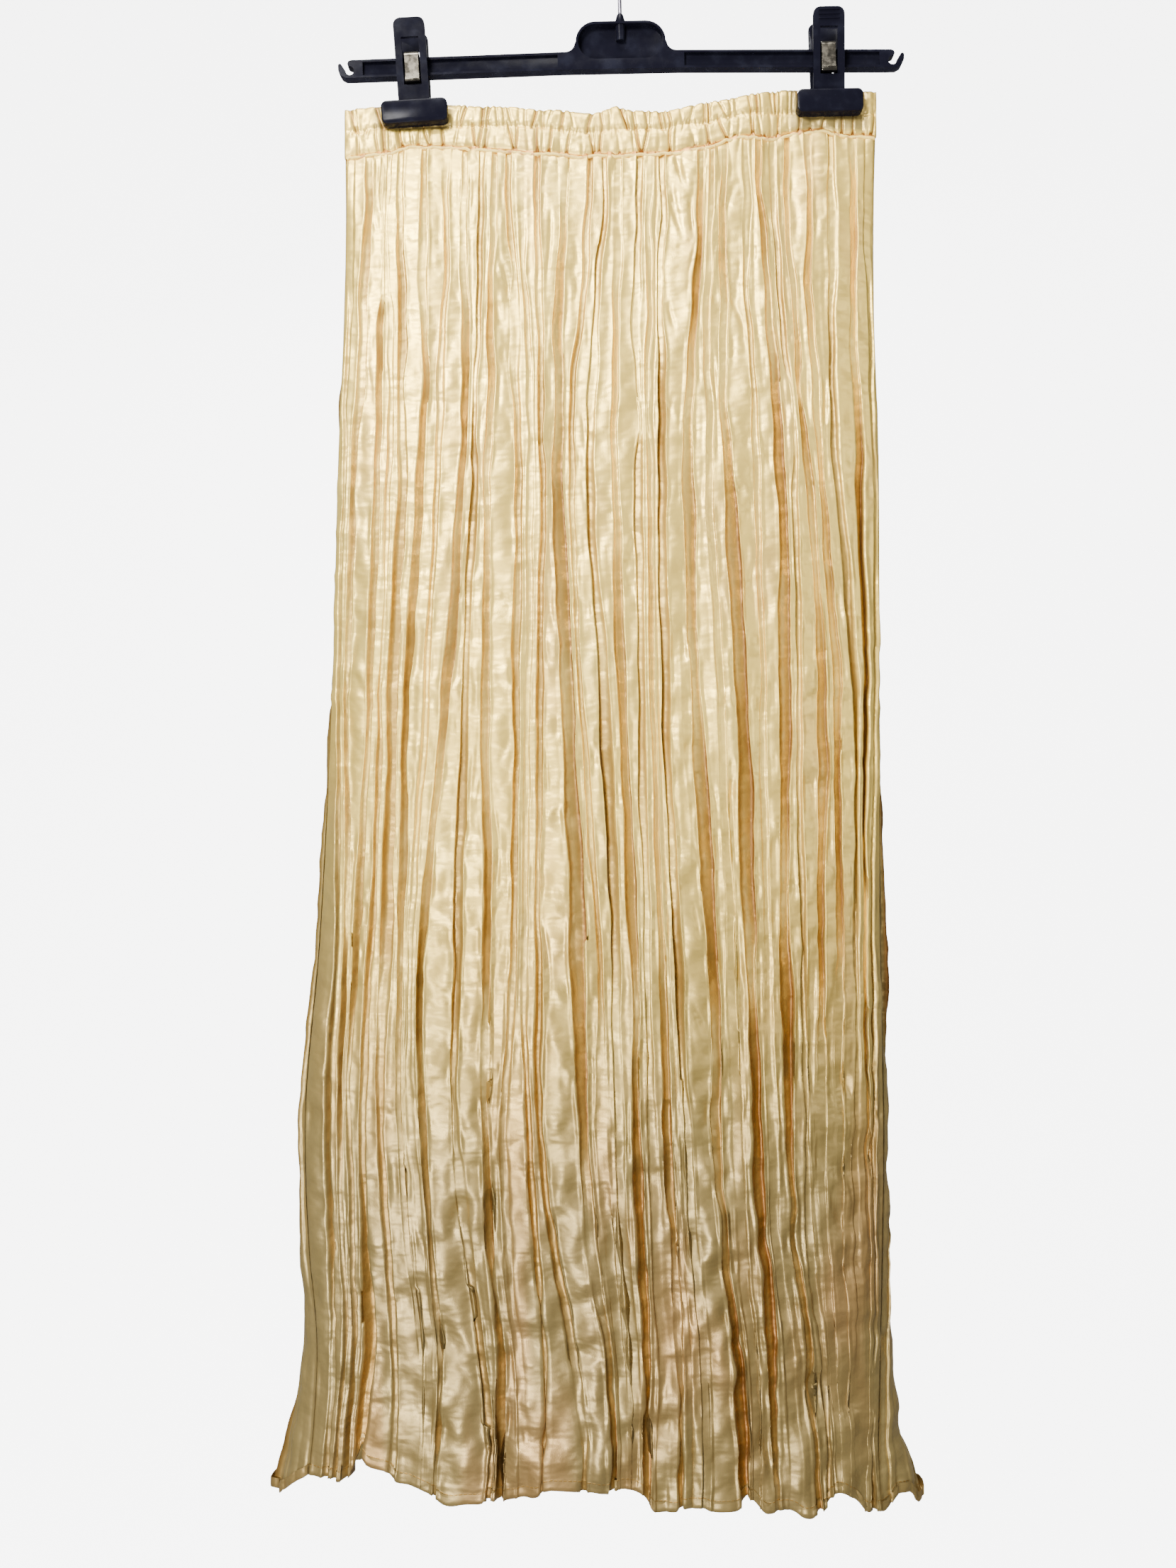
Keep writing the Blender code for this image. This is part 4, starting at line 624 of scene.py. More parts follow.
def fold_columns():
    """How far each column of a fold is down its left wall, across its floor and up its right."""
    walls, floors = len(WALL_STEPS), len(FLOOR_STEPS)
    down = [*WALL_STEPS] + [1.0] * (floors + walls)
    over = [0.0] * walls + [*FLOOR_STEPS] + [1.0] * walls
    up = [0.0] * (walls + floors) + [*WALL_STEPS]
    return np.array(down), np.array(over), np.array(up)


class Layout:
    """The columns of a panel: which fold or facet each lies in, and where in it."""

    def __init__(self, first, last, facet_widths, budget):
        fold_steps = fold_columns()
        per_fold = len(fold_steps[0])
        spare = budget - per_fold * (last - first)
        share = np.maximum(facet_widths, 1.5)
        counts = np.maximum(3, np.round(spare * share / share.sum()).astype(int))
        blocks = []
        for k, count in enumerate(counts):
            steps = np.linspace(0, 1, count + 2)[1:-1]
            if k == 0:
                steps = np.linspace(0, 1, count + 1)[:-1]
            if k == len(counts) - 1:
                steps = np.linspace(0, 1, count + 1)[1:]
            steps = steps - FACET_BUNCHING * np.sin(2 * math.pi * steps)
            none = np.zeros(count)
            blocks.append((none - 1, none + k, steps, none, none, none))
            if k < len(counts) - 1:
                none = np.zeros(per_fold)
                blocks.append((none + first + k, none + k, none, *fold_steps))
        fold, facet, self.inside, self.down, self.over, self.up = map(np.concatenate, zip(*blocks))
        self.facet = facet.astype(int)
        self.in_fold = fold >= 0
        self.fold = np.maximum(fold, 0).astype(int)


def crease_relief(x, z, table):
    """Relief and marks of the creases over a grid of places. Each is a trough (or ridge) of a bell's
    section along a slightly bent line, with one side pushed up, fading at both ends. A mark is near 1 at
    the bottom of a deep trough, and is painted there as shade."""
    relief, mark = np.zeros_like(x), np.zeros_like(x)
    for k, (across, height, run, rise, deep, half) in enumerate(table):
        length = math.hypot(run, rise)
        reach = 3 * half + CREASE_WANDER * length
        low, high = min(height, height + rise) - reach, max(height, height + rise) + reach
        rows = np.flatnonzero((z.max(axis=1) > low) & (z.min(axis=1) < high))
        if not len(rows):
            continue
        rows = slice(rows[0], rows[-1] + 1)
        dx, dz = x[rows] - across, z[rows] - height
        t = (dx * run + dz * rise) / length**2
        bend = CREASE_WANDER * length * math.sin(1 + 2.3 * k) * 4 * t * (1 - t)
        side = ((dx * rise - dz * run) / length - bend) / half
        ends = fading_ends(t)
        tilt = 0.7 * math.sin(1.1 * k)
        relief[rows] -= CREASE_DEPTH * deep * ends * bell(side) * (1 + tilt * side)
        mark[rows] = np.maximum(mark[rows], np.clip(deep / 0.8, 0, 1) * ends * bell(2 * side))
    return relief, mark


def small_creases(count, box, seed):
    """Short creases strewn over a box (left, right, top, bottom): mostly upright near the waist,
    leaning every way and deeper towards the hem."""
    draw = np.random.default_rng(seed)
    left, right, top, bottom = box
    rows = []
    for _ in range(count):
        down = draw.uniform(0, 1) ** 1.15
        x, z = draw.uniform(left, right), top + (bottom - top) * down
        length = draw.uniform(8, 34) * (1.1 - 0.35 * down)
        lean = draw.normal(0, 0.24 + 0.36 * down * draw.uniform(0, 1))
        if draw.uniform(0, 1) < 0.12 + 0.16 * down:
            lean = math.pi / 2 * draw.choice((-1, 1)) + draw.normal(0, 0.25)
            length = length * 0.4
        deep = draw.uniform(0.14, 0.42) * (1.5 - 1.8 * down + 2.0 * down**2)
        run, rise = length * math.sin(lean), -length * math.cos(lean)
        rows.append((x, z, run, rise, deep, draw.uniform(1.0, 1.7) * (1 + 1.9 * down)))
    return rows


def puffs(across, gathers, lean):
    """Rounded puffs between gathers: with f from 0 to 1 between two gathers the height is
    (4f(1-f))^s, taller where the gathers are farther apart, and sharp at the gathers. The
    gathers wander sideways by each row's lean."""
    gathers = np.asarray(gathers, float)
    wander = gathers + GATHER_LEAN * lean[:, None] * np.sin(2.1 * np.arange(len(gathers)))
    place = np.stack([np.searchsorted(row, a) for row, a in zip(wander, across)]) - 1
    place = np.clip(place, 0, len(gathers) - 2)
    near, far = (np.take_along_axis(wander, place + step, axis=1) for step in (0, 1))
    f = np.clip((across - near) / np.maximum(far - near, 0.5), 0, 1)
    tall = np.minimum(PUFF_LARGEST, PUFF_PER_MM * (far - near)) * (1 + 0.3 * np.sin(3.3 * place))
    return tall * (4 * f * (1 - f)) ** PUFF_SHAPE


def hem_height(share, side):
    """Height of the hem's line: straight between the seams in front, and low behind."""
    left, right = SEAM_HEMS
    if side == "front":
        return np.interp(share, (0, 1), (left, right))
    return np.interp(share, (0, BACK_HEM_SHARE, 1 - BACK_HEM_SHARE, 1), (left, BACK_HEM, BACK_HEM, right))


class Panel:
    """One panel of the skirt as a grid of points, with the marks that its finish reads. A row
    is the section's line at its height, moved in by the folds and out by the relief."""

    def __init__(self, side, folds, start, end, rows, budget, creases, gathers, seed):
        self.side, self.folds, self.seed = side, folds, seed
        self.start, self.end = start, end
        self.first, self.last = start or 0, end or len(folds)
        self.heights = WAIST_NOMINAL + (HEM_NOMINAL - WAIST_NOMINAL) * np.linspace(0, 1, rows)
        values = fold_values(folds, self.heights)
        self.layout = self.share_columns(values[0], budget)
        placed = [self.fold_row(*row) for row in zip(self.heights, *values)]
        self.flat, self.normal, self.deep, self.s, self.share_s = map(np.array, zip(*placed))
        self.set_heights()
        self.mark_clefts()
        self.press(creases, gathers)

    def share_columns(self, centres, budget):
        """Shares the columns out by the facets' widths at mid height."""
        middle = len(self.heights) // 2
        length = section(self.heights[middle], self.side)[0][-1]
        borders = np.concatenate([[0.0], centres[middle] / 100 * length, [length]])
        widths = np.diff(borders[self.first:self.last + 2]) - FOLD_NOMINAL
        return Layout(self.first, self.last, widths, budget)

    def fold_row(self, height, centres, sway, widths, depths):
        """One row of points with their normals, depths in the folds and places along the line.
        A fold goes down a wall, across its floor and up again, and the floor reaches under the
        facet on the side that it leans to."""
        layout, first, last = self.layout, self.first, self.last
        along, line = section(height, self.side)
        length = along[-1]
        centre = centres / 100 * length + sway
        mouth, floor, deep = squeeze_folds(centre, widths, depths)
        waist_depth, full = WAIST_DEPTH
        deep = deep * np.interp(ring_share(height), (0, full), (waist_depth, 1))
        edges = np.concatenate([[0.0], centre + mouth])
        nexts = np.concatenate([centre - mouth, [length]])
        if self.start:
            edges[first] = (edges[first] + nexts[first]) / 2 - SEAM_LAP
        if self.end:
            nexts[last] = (edges[last] + nexts[last]) / 2 + SEAM_LAP
        facet = first + layout.facet
        on_facet = edges[facet] * (1 - layout.inside) + nexts[facet] * layout.inside
        under = column(self.folds, FOLD_COLUMNS, "under")
        to_left, to_right = np.maximum(-under, 0), np.maximum(under, 0)
        reach = UNDERCUT * np.clip(deep / 2, 0, 1)
        left = -floor * (1 - to_left) - (mouth + reach) * to_left
        right = floor * (1 - to_right) + (mouth + reach) * to_right
        deep_left = deep * (1 - TOWARDS_UNDERCUT * to_right)
        deep_right = deep * (1 - TOWARDS_UNDERCUT * to_left)
        fold = layout.fold
        m, left, right = mouth[fold], left[fold], right[fold]
        in_fold = centre[fold] - m + (left + m) * layout.down + (right - left) * layout.over
        in_fold = in_fold + (m - right) * layout.up
        d = deep_left[fold] * ease(layout.down) + (deep_right - deep_left)[fold] * layout.over
        d = np.where(layout.in_fold, d - deep_right[fold] * ease(layout.up), 0.0)
        s = np.where(layout.in_fold, in_fold, on_facet)
        points, normal = place_on(line, along, s)
        return points - normal * (d - SKIN)[:, None], normal, d, s, s / length

    def hangs(self):
        """How far each column hangs below the hem line: a facet by its own drop, and a fold's
        floor between its facets' drops, less its lift."""
        layout, folds = self.layout, self.folds
        drop = column(folds, FOLD_COLUMNS, "drop")
        before = np.concatenate([drop[:1], drop[:-1]])
        floor = (before + drop) / 2 - column(folds, FOLD_COLUMNS, "lift")
        fold, facet = layout.fold, layout.facet
        on_facet = before[np.minimum(self.first + facet, len(folds) - 1)]
        on_facet = np.where(facet == facet.max(), drop[fold.max()], on_facet)
        down, up = ease(layout.down), ease(layout.up)
        in_fold = before[fold] * (1 - down) + floor[fold] * (down - up) + drop[fold] * up
        return np.where(layout.in_fold, in_fold, on_facet)

    def set_heights(self):
        """Every point's height: between the waist seam and the hem, with each facet's own length
        coming in towards the hem. Steps of the hem are rounded off by averages along it."""
        along = self.s[-1]
        tall, length = HEM_WAVE
        wave = tall * crinkle(along, 0 * along, length, 1.0, self.seed + 5)
        near = np.exp(-(((along[:, None] - along[None, :]) / HEM_SOFT) ** 2))
        near *= np.gradient(np.sort(along))[None, :]
        hang = near @ (self.hangs() + wave) / near.sum(axis=1)
        for seam, from_seam in ((0, along - along[0]), (1, along[-1] - along)):
            if self.at_side_seam(seam):
                held = SEAM_HANGS[seam]
                hang = held + (hang - held) * ease(from_seam / SEAM_LEVEL)
        share = ring_share(self.heights)[:, None]
        top = band_height(self.flat[..., 0], "seam") - SEAM_GAP
        hem = hem_height(self.share_s, self.side)
        self.z = top + (hem - top) * share - hang[None, :] * share**HEM_START
        self.below_waist = top - self.z
        self.above_hem = self.z - (hem - hang[None, :])

    def at_side_seam(self, seam):
        """Whether the panel's left end (0) or right end (1) is a side seam, not the front seam."""
        edge = self.share_s[-1, 0] if seam == 0 else 1 - self.share_s[-1, -1]
        return edge < 0.01

    def mark_clefts(self):
        """Painted shade in the folds: hollow_shade grows with how deep a point lies in its fold, and
        cleft_shade is 1 in the corner that runs under a facet."""
        layout = self.layout
        lean = column(self.folds, FOLD_COLUMNS, "under")[layout.fold] * layout.in_fold
        right = layout.over**3 * (1 - ease(layout.up)) * np.maximum(lean, 0)
        left = (1 - layout.over) ** 3 * ease(layout.down) * np.maximum(-lean, 0)
        full, soon = SUNK
        self.hollow_shade = np.clip(self.deep / full, 0, 1) * np.clip(self.deep / soon, 0, 1)
        start, more = CLEFT_DEPTHS
        self.cleft_shade = (left + right)[None, :] * np.clip((self.deep - start) / more, 0, 1)

    def press(self, creases, gathers):
        """Adds everything that is pressed into the cloth, square to its surface."""
        layout = self.layout
        x, z = self.flat[..., 0], self.z
        share = ring_share(self.heights)[:, None]
        (mid_start, mid_run), (low_start, low_run) = MID_GROWS, LOWER_GROWS
        mid, lower = ease((share - mid_start) / mid_run), ease((share - low_start) / low_run)
        least, start, run = SMOOTH_LEFT
        low = lower * (least + (1 - least) * ease((x - start) / run))
        width, rim = self.facet_sizes()
        before, after = self.side_depths()
        beside = before * (1 - layout.inside) + after * layout.inside
        calm = low * np.clip(1 - np.where(layout.in_fold, self.own_depths(), beside) / CALM_DEPTH, 0, 1)
        body = np.where(layout.in_fold, 0.0, ease(rim / EDGE_UNCRUSHED))
        apart = x + FACETS_APART * layout.facet[None, :]
        relief = self.crushed(apart, z, mid, low) * body * (1 - calm)
        relief += self.crushed(x, z, mid, low) * calm
        body = np.maximum(body, calm)
        relief += broad_dents(x, z, mid, low) * (0.5 + 0.5 * np.maximum(body, low))
        pressed, self.crease = crease_relief(x, z, creases)
        relief += CREASE_LARGEST * np.tanh(pressed / CREASE_LARGEST) * (0.3 + 0.7 * body)
        relief += (1 - 0.85 * lower) * self.facet_lines() + (1 - 0.85 * calm) * self.facet_tilt(width)
        crown = np.minimum((CROWN_TOP + (CROWN_HEM - CROWN_TOP) * low) * width, CROWN_LARGEST)
        crown = crown * np.clip((before + after) / 5, 0.15, 1) * 4 * layout.inside * (1 - layout.inside)
        relief += np.where(layout.in_fold, 0, crown)
        relief += self.pressed_edges(apart, rim, before, lower)
        relief = self.sewn(relief, x, gathers)
        self.way = self.pressing_way()
        self.points = self.base() + self.way * relief[..., None]
        for edge, inner in ((0, 1), (-1, -2)):
            past = self.points[:, edge] - self.points[:, inner]
            self.points[:, edge] += SEAM_LAP * past / np.linalg.norm(past, axis=1)[:, None]

    def crushed(self, place, z, mid, low):
        """Soft dents and the two crossing families of crush lines: each line is where a slow
        noise passes zero, rounded off."""
        dents = (0.35 + 0.25 * mid) * crinkle(place, z, 9.0, 10.0, self.seed)
        dents += (0.06 + 0.04 * low) * crinkle(place, z, 4.0, 6.0, self.seed + 2)
        for lean, wide, tall, strength, step in CRUSH_LINES:
            slow = crinkle(place + lean * z, z, wide, tall, self.seed + step)
            dents -= (0.3 + strength * low) * np.hypot(0.15, slow)
        return dents

    def pressed_edges(self, apart, rim, before, lower):
        """A thin ridge down each facet's left edge and a roll along both lips of a fold."""
        layout, z = self.layout, self.z
        tall, wide = EDGE_RIDGE
        ridge = tall * (1 + 0.8 * crinkle(apart, z, 300.0, 26.0, self.seed + 8)) * bell(rim / wide)
        ridge = ridge * np.clip(before / 3, 0, 1) * (~layout.in_fold & (layout.inside < 0.5))
        lip = layout.in_fold & (np.maximum(1 - layout.down, layout.up) == 1)
        roll = EDGE_ROLL * (1 - 0.8 * lower) * (1 + crinkle(apart, z, 5.0, 22.0, self.seed + 4))
        return ridge + roll * lip[None, :] * np.clip(self.own_depths() / 2, 0, 1)

    def sewn(self, relief, x, gathers):
        """The relief with puffs below the waist seam, flattened and sunk along the panel's seams,
        and with the grooves of the waist seam and the stitched hem."""
        lean = np.clip(self.below_waist / WAIST_PUFF_FADE, 0, 1).mean(axis=1)
        fading = np.exp(-self.below_waist / WAIST_PUFF_FADE)
        relief = relief + 0.8 * puffs(x, gathers, 1.5 * lean) * fading
        tall, place, wide = WAIST_GROOVE
        relief += tall * bell((self.below_waist - place) / wide)
        for from_seam in (self.s - self.s[:, :1], self.s[:, -1:] - self.s):
            relief *= 1 - bell(from_seam / SEAM_FLAT)
            relief -= SEAM_DIP * bell(from_seam / SEAM_REACH)
        for tall, place, wide in HEM_GROOVES:
            relief += tall * bell((self.above_hem - place) / wide)
        return relief

    def base(self):
        """The folded cloth before anything is pressed into it."""
        return np.concatenate([self.flat, self.z[..., None]], axis=2)

    def pressing_way(self):
        """Unit ways out of the cloth: mostly square to a facet, and half way to the tube's own
        normal in a fold, so that its walls don't cross."""
        out = np.concatenate([self.normal, np.zeros(self.z.shape + (1,))], axis=2)
        surface = grid_normals(self.base())
        surface *= np.sign(np.sum(surface * out, axis=2, keepdims=True) + 1e-9)
        blend = np.where(self.layout.in_fold, 0.5, 0.9)[None, :, None]
        way = surface * blend + out * (1 - blend)
        return way / np.linalg.norm(way, axis=2, keepdims=True)

    def facet_lines(self):
        """Long pressed lines down the facets: each is a trough or ridge at its own share of the
        facet's width, which wanders, and fades at both ends."""
        layout = self.layout
        draw = np.random.default_rng(self.seed + 9)
        relief = np.zeros_like(self.z)
        for facet in np.unique(layout.facet):
            mine = np.flatnonzero((layout.facet == facet) & ~layout.in_fold)
            s, z = self.s[:, mine], self.z[:, mine]
            width = s[:, -1:] - s[:, :1]
            for _ in range(int(width.mean() * FACET_LINES_PER_MM) + 1):
                start, length = draw.uniform(-900, -110), draw.uniform(50, 240)
                wander = 0.10 * np.sin(z / draw.uniform(18, 60) + draw.uniform(0, 6))
                place = draw.uniform(0.12, 0.88) + wander
                half = draw.uniform(0.8, 2.6)
                deep = draw.choice((-1, 1)) * draw.uniform(0.15, 0.40) * half**0.6
                side = (s - s[:, :1] - place * width) / half
                relief[:, mine] -= deep * fading_ends((start - z) / length) * bell(side)
        return relief

    def facet_sizes(self):
        """The width of the facet that each column belongs to, and how far the column is from
        the facet's nearer edge, row by row."""
        layout = self.layout
        widths = [np.ptp(self.s[:, (layout.facet == k) & ~layout.in_fold], axis=1)
                  for k in range(layout.facet.max() + 1)]
        width = np.stack(widths, axis=1)[:, layout.facet]
        return width, width * np.minimum(layout.inside, 1 - layout.inside)[None, :]

    def facet_tilt(self, width):
        """Each facet leans a little to one side, by a slope that changes slowly on its way down,
        and the folds beside it keep to its edges."""
        layout = self.layout
        z = self.heights[:, None]
        facet = layout.facet[None, :]

        def edge(number):
            slope = TILT_SLOPE * (np.sin(1.9 * number + z / 170) + 0.6 * np.sin(4.7 * number + z / 57))
            return np.clip(slope * width / 2, -TILT_LARGEST, TILT_LARGEST)

        lips = edge(facet) * (1 - ease(layout.down)) - edge(facet + 1) * ease(layout.up)
        return np.where(layout.in_fold, lips, edge(facet) * (2 * layout.inside - 1))

    def fold_depths(self):
        """Depth of each of the panel's folds, row by row."""
        layout = self.layout
        mine = [layout.in_fold & (layout.fold == k) for k in range(self.first, self.last)]
        return np.stack([self.deep[:, fold].max(axis=1) for fold in mine], axis=1)

    def side_depths(self):
        """Depths of the folds to the left and to the right of each column's facet."""
        depths = np.pad(self.fold_depths(), ((0, 0), (1, 1)))
        facet = self.layout.facet
        return depths[:, facet], depths[:, facet + 1]

    def own_depths(self):
        """Depth of the fold that each column belongs to, for its pressed edges."""
        layout = self.layout
        own = np.clip(layout.fold - self.first, 0, None)
        return self.fold_depths()[:, own] * layout.in_fold

    def turned_hem(self):
        """The hem's turn: the last row rolled in and carried up inside by the hem's height."""
        last, inward = self.points[-1], -self.way[-1]
        rolled = ((0.35, -0.25), (0.75, 0.3), (0.8, HEM_TURN / 2), (0.7, HEM_TURN))
        return [last + inward * inside + (0, 0, rise) for inside, rise in rolled]

    def tucked_top(self):
        """The cloth's edge above the waist seam, which runs up inside the casing."""
        top, inward = self.points[0], -self.way[0]
        return [top + inward * inside + (0, 0, rise) for inside, rise in ((0.9, 2.0), (0.4, 0.8))]

    def build(self, name, finish):
        """The piece with its UVs, along the cloth and up from the hem, and its marks."""
        above, below = self.tucked_top(), self.turned_hem()
        points = np.concatenate([above, self.points, below])
        rows, columns = points.shape[:2]

        def padded(values, top, bottom):
            return np.concatenate([np.full((len(above), columns), top), values,
                                   np.full((len(below), columns), bottom)])

        s = np.concatenate([self.s[:1]] * len(above) + [self.s] + [self.s[-1:]] * len(below))
        faces = grid_faces(rows, columns)
        if self.side == "back":
            faces = faces[:, ::-1]
        uv = np.stack([s, padded(self.above_hem, 900.0, 0.0)], axis=-1)
        # the marks carry painted shade: in the folds and creases, along the seams and over the tucked
        # top, on cloth turned aside and in the turned hem
        marks = {
            "hollow_shade": padded(self.hollow_shade, 0.3, 0.4),
            "cleft_shade": padded(np.maximum(self.cleft_shade, 0.3 * self.crease), 0.0, 0.0),
            "seam": padded(self.seam_shade_mark(), 1.0, 0.0),
            "shade": padded(self.shade_mark(), 0.0, 0.5),
        }
        return add_mesh(name, points, faces, finish, uv, marks)

    def shade_mark(self):
        """How much painted shade the cloth takes where it turns away from the light: the back panel
        beside its seams, and lower down the outermost facet at either side of the front."""
        layout = self.layout
        if self.side == "back":
            from_seam = np.minimum(self.share_s, 1 - self.share_s)
            return 0.75 * (1 - ease((from_seam - 0.07) / 0.05))
        at_left = (layout.facet == 0) & self.at_side_seam(0)
        at_right = (layout.facet == layout.facet.max()) & ~layout.in_fold & self.at_side_seam(1)
        return 0.6 * (at_left | at_right)[None, :] * gone_down(self.z, -400, 250)

    def seam_shade_mark(self):
        """Painted shade along the waist seam and the panel's side edges: 1 in them, fading over a
        millimetre.
        """
        edge = np.minimum(self.s - self.s[:, :1], self.s[:, -1:] - self.s)
        return np.maximum(bell(self.below_waist / 1.7), 0.25 * bell(edge / 0.8))


def broad_dents(x, z, mid, low):
    """Broad dents that run on across the folds: leaning noises, each with its own growth on the
    way down, and the last only where its rungs come in groups."""
    crowd, *cells = RUNG_GROUPS
    rungs = np.clip(crowd * crinkle(x, z, *cells), 0, 1)
    dents = np.zeros_like(x)
    for row in BROAD_DENTS:
        even, in_middle, low_down, lean_x, lean_z, wide, tall, seed = row
        height = (even + in_middle * mid + low_down * low) * (rungs if row is BROAD_DENTS[-1] else 1)
        dents += height * crinkle(x + lean_x * z, z + lean_z * x, wide, tall, seed)
    return dents


# The panels: piece, node, first and last fold of its side, rows and columns of its grid, seed,
# and the flat size of its cloth in metres.
FRONT_SEAM = len(FRONT_LEFT_FOLDS)
FRONT_PANELS = (
    ("front_left_cloth", "skirt_front_left", None, FRONT_SEAM, 296, 330, 21, (0.30, 0.83)),
    ("front_right_cloth", "skirt_front_right", FRONT_SEAM, None, 316, 308, 31, (0.195, 0.83)),
)
BACK_PANELS = (("back_cloth", "skirt_back", None, None, 190, 500, 41, (0.555, 0.83)),)


def make_skirt(satin):
    """The two front panels and the back, each with the creases of its side."""
    seen = list(FRONT_CREASES) + small_creases(SEEN_SMALL_CREASES, (-185, 165, -160, -950), 11)
    hidden = small_creases(HIDDEN_CREASES, (-200, 180, -160, -955), 12)
    back_folds = hidden_folds(BACK_FOLD_COUNT)
    for side, panels, folds, creases, gathers in (
        ("front", FRONT_PANELS, FRONT_LEFT_FOLDS + FRONT_RIGHT_FOLDS, seen, LOWER_GATHERS),
        ("back", BACK_PANELS, back_folds, hidden, [MIRROR - at for at in LOWER_GATHERS[::-1]]),
    ):
        for name, node, start, end, rows, columns, seed, cut in panels:
            panel = Panel(side, folds, start, end, rows, columns, creases, gathers, seed)
            piece = panel.build(name, satin)
            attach(piece, "root")
            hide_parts(node)


# ------------------------------------------------------------------ waistband
def pressed_by_jaw(across):
    """1 under a jaw, 0 clear of it."""
    nearest = np.min([np.abs(across - centre) for centre in JAW_CENTRES], axis=0)
    return ease((JAW_HALF + 3 - nearest) / 5)


def thinned_at_ends(across, least):
    """1 along the band, falling to the least at its ends as the root of the distance left."""
    near = np.minimum(across - BAND_ENDS[0], BAND_ENDS[1] - across)
    return least + (1 - least) * np.sqrt(np.clip(near / BAND_END_RUN, 0, 1))


def band_creases(across, share, upper, lower, seed):
    """Depth of the gathers, and marks of the painted shade in their creases: each crease is a bell-shaped
    trough along a line that leans from its head to its foot, and short puckers cross the stitched row."""
    deep, mark = np.zeros_like(across), np.zeros_like(across)
    for k, (low, high, rows) in enumerate(((0.0, 0.5, upper), (0.5, 1.0, lower))):
        down = (share - low) / (high - low)
        here = ease(1.5 + 5.5 * down) * ease(1 + (1 - down) * 9)
        grow = 0.7 + 0.5 * down if k else 1.1 - 0.2 * down
        for n, (head, foot, depth, half) in enumerate(rows):
            bend = 0.5 * math.sin(1.7 * n + k) * 4 * down * (1 - down)
            side = (across - head - (foot - head) * down - bend) / half
            tilted = 1 + 0.5 * math.sin(2.9 * n) * side
            deep += 1.15 * grow * bell(side) * here * depth * tilted
            thin = bell(CREASE_CORE * side) * here * (depth - 0.3) / 0.7
            mark = np.maximum(mark, thin * grow)
    draw = np.random.default_rng(seed)
    for _ in range(STITCH_PUCKERS):
        place, lean = draw.uniform(*BAND_ENDS), draw.normal(0, 1.2)
        reach, row = draw.uniform(0.04, 0.13), draw.choice((0.5, 0.5, 1.0))
        offset = (share - row) / reach
        side = (across - place - lean * offset) / draw.uniform(0.35, 0.6)
        deep += draw.uniform(0.2, 0.5) * bell(np.hypot(side, offset))
    return deep, mark


def make_band(side, satin, upper, lower, knots, seed):
    """The casing: its outside swells over each elastic, is creased by the gathers, rolls over
    its top edge and comes back down inside."""
    x = np.linspace(*BAND_ENDS, 800)
    share = np.concatenate([np.linspace(0, 0.46, 17), np.linspace(0.49, 1.0, 19)])[:, None]
    inside = np.array([1.0, 0.75, 0.5, 0.25, 0.06, 0.0])[:, None]
    across = np.broadcast_to(x, (len(share), len(x)))
    x_inside = np.broadcast_to(x, (len(inside), len(x)))
    down, down_inside = share * BAND_HEIGHT, inside * BAND_HEIGHT
    top, row, seam = [band_height(x, line) for line in ("top", "row", "seam")]
    row = row + 0.35 * crinkle(x, 0 * x, 2.9, 1.0, seed + 3)

    def height(at):
        return np.where(at < 0.5, top + (row - top) * at * 2, row + (seam - row) * (at * 2 - 1))

    thick = smooth_table(share[:, 0], [s for s, _ in CASING], [t for _, t in CASING])[:, None]
    deep, mark = band_creases(across, share, upper, lower, seed)
    puff = 0.45 * crinkle(across, down, 6.0, 9.0, seed)
    puff += 0.16 * crinkle(across, down, 2.6, 6.0, seed + 2)
    knot = np.max([bell((x - at) / 0.9) for at in knots], axis=0) * bell((share - 0.98) / 0.05)
    calm = np.interp(share, (0, 0.05, 0.93, 1), (0.6, 1, 1, 0.7))
    out = thick + (puff * (1 - 0.55 * bell((share - 0.5) / 0.05)) - deep - 0.9 * knot) * calm
    pressed = pressed_by_jaw(across) * (share < 0.45)
    out = out * (1 - pressed) + np.minimum(out, BAND_PRESSED) * pressed
    out = out * thinned_at_ends(x, 0.35)
    scallop = (0.7 * puff - 0.6 * deep) * np.exp(-share / 0.06)
    y = BAND_SLIT + bow(x) + np.maximum(out, 0.3)
    y_inside = BAND_SLIT + bow(x) + 0.2 * crinkle(x_inside, down_inside, 4.0, 9.0, seed + 1)
    z = height(share) + scallop * (1 - pressed)
    z_inside = height(inside) + (scallop[0] - 0.4) * (inside == 0.0)
    facing = -1 if side == "front" else 1
    across = np.concatenate([across, x_inside])
    outward, upward = np.concatenate([y, y_inside]), np.concatenate([z, z_inside])
    points = np.stack([across, facing * outward, upward], axis=-1)
    faces = grid_faces(*across.shape, wrap_rows=True)
    if side == "back":
        faces = faces[:, ::-1]
    none = np.zeros_like(y_inside)
    # painted shade under the casing's lower edge
    lower_edge_shade = 0.5 * bell((share - 1.0) / 0.03)
    # painted shadow of the jaws on the casing below them
    shaded = 0.8 * pressed_by_jaw(x) * ease((z - JAW_FOOT) / 4)
    # painted shade: in the gather troughs and inside the casing, dark in the creases and at the knots,
    # coral under the casing's edge and at the knots, and under the jaws
    marks = {
        "hollow_shade": np.concatenate([0.5 * np.clip(deep / 0.9, 0, 1), none + 0.3]),
        "cleft_shade": np.concatenate([np.clip(0.75 * mark + 1.2 * knot, 0, 1), none]),
        "seam": np.concatenate([np.maximum(lower_edge_shade, knot), none]),
        "shade": np.concatenate([shaded, none]),
    }
    all_down = np.broadcast_to(np.concatenate([down, down_inside]), across.shape)
    uv = np.stack([across, 300 + all_down], axis=-1)
    band = add_mesh("waistband_cloth_" + side, points, faces, satin, uv, marks)
    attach(band, "root")
    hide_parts("waistband_" + side)


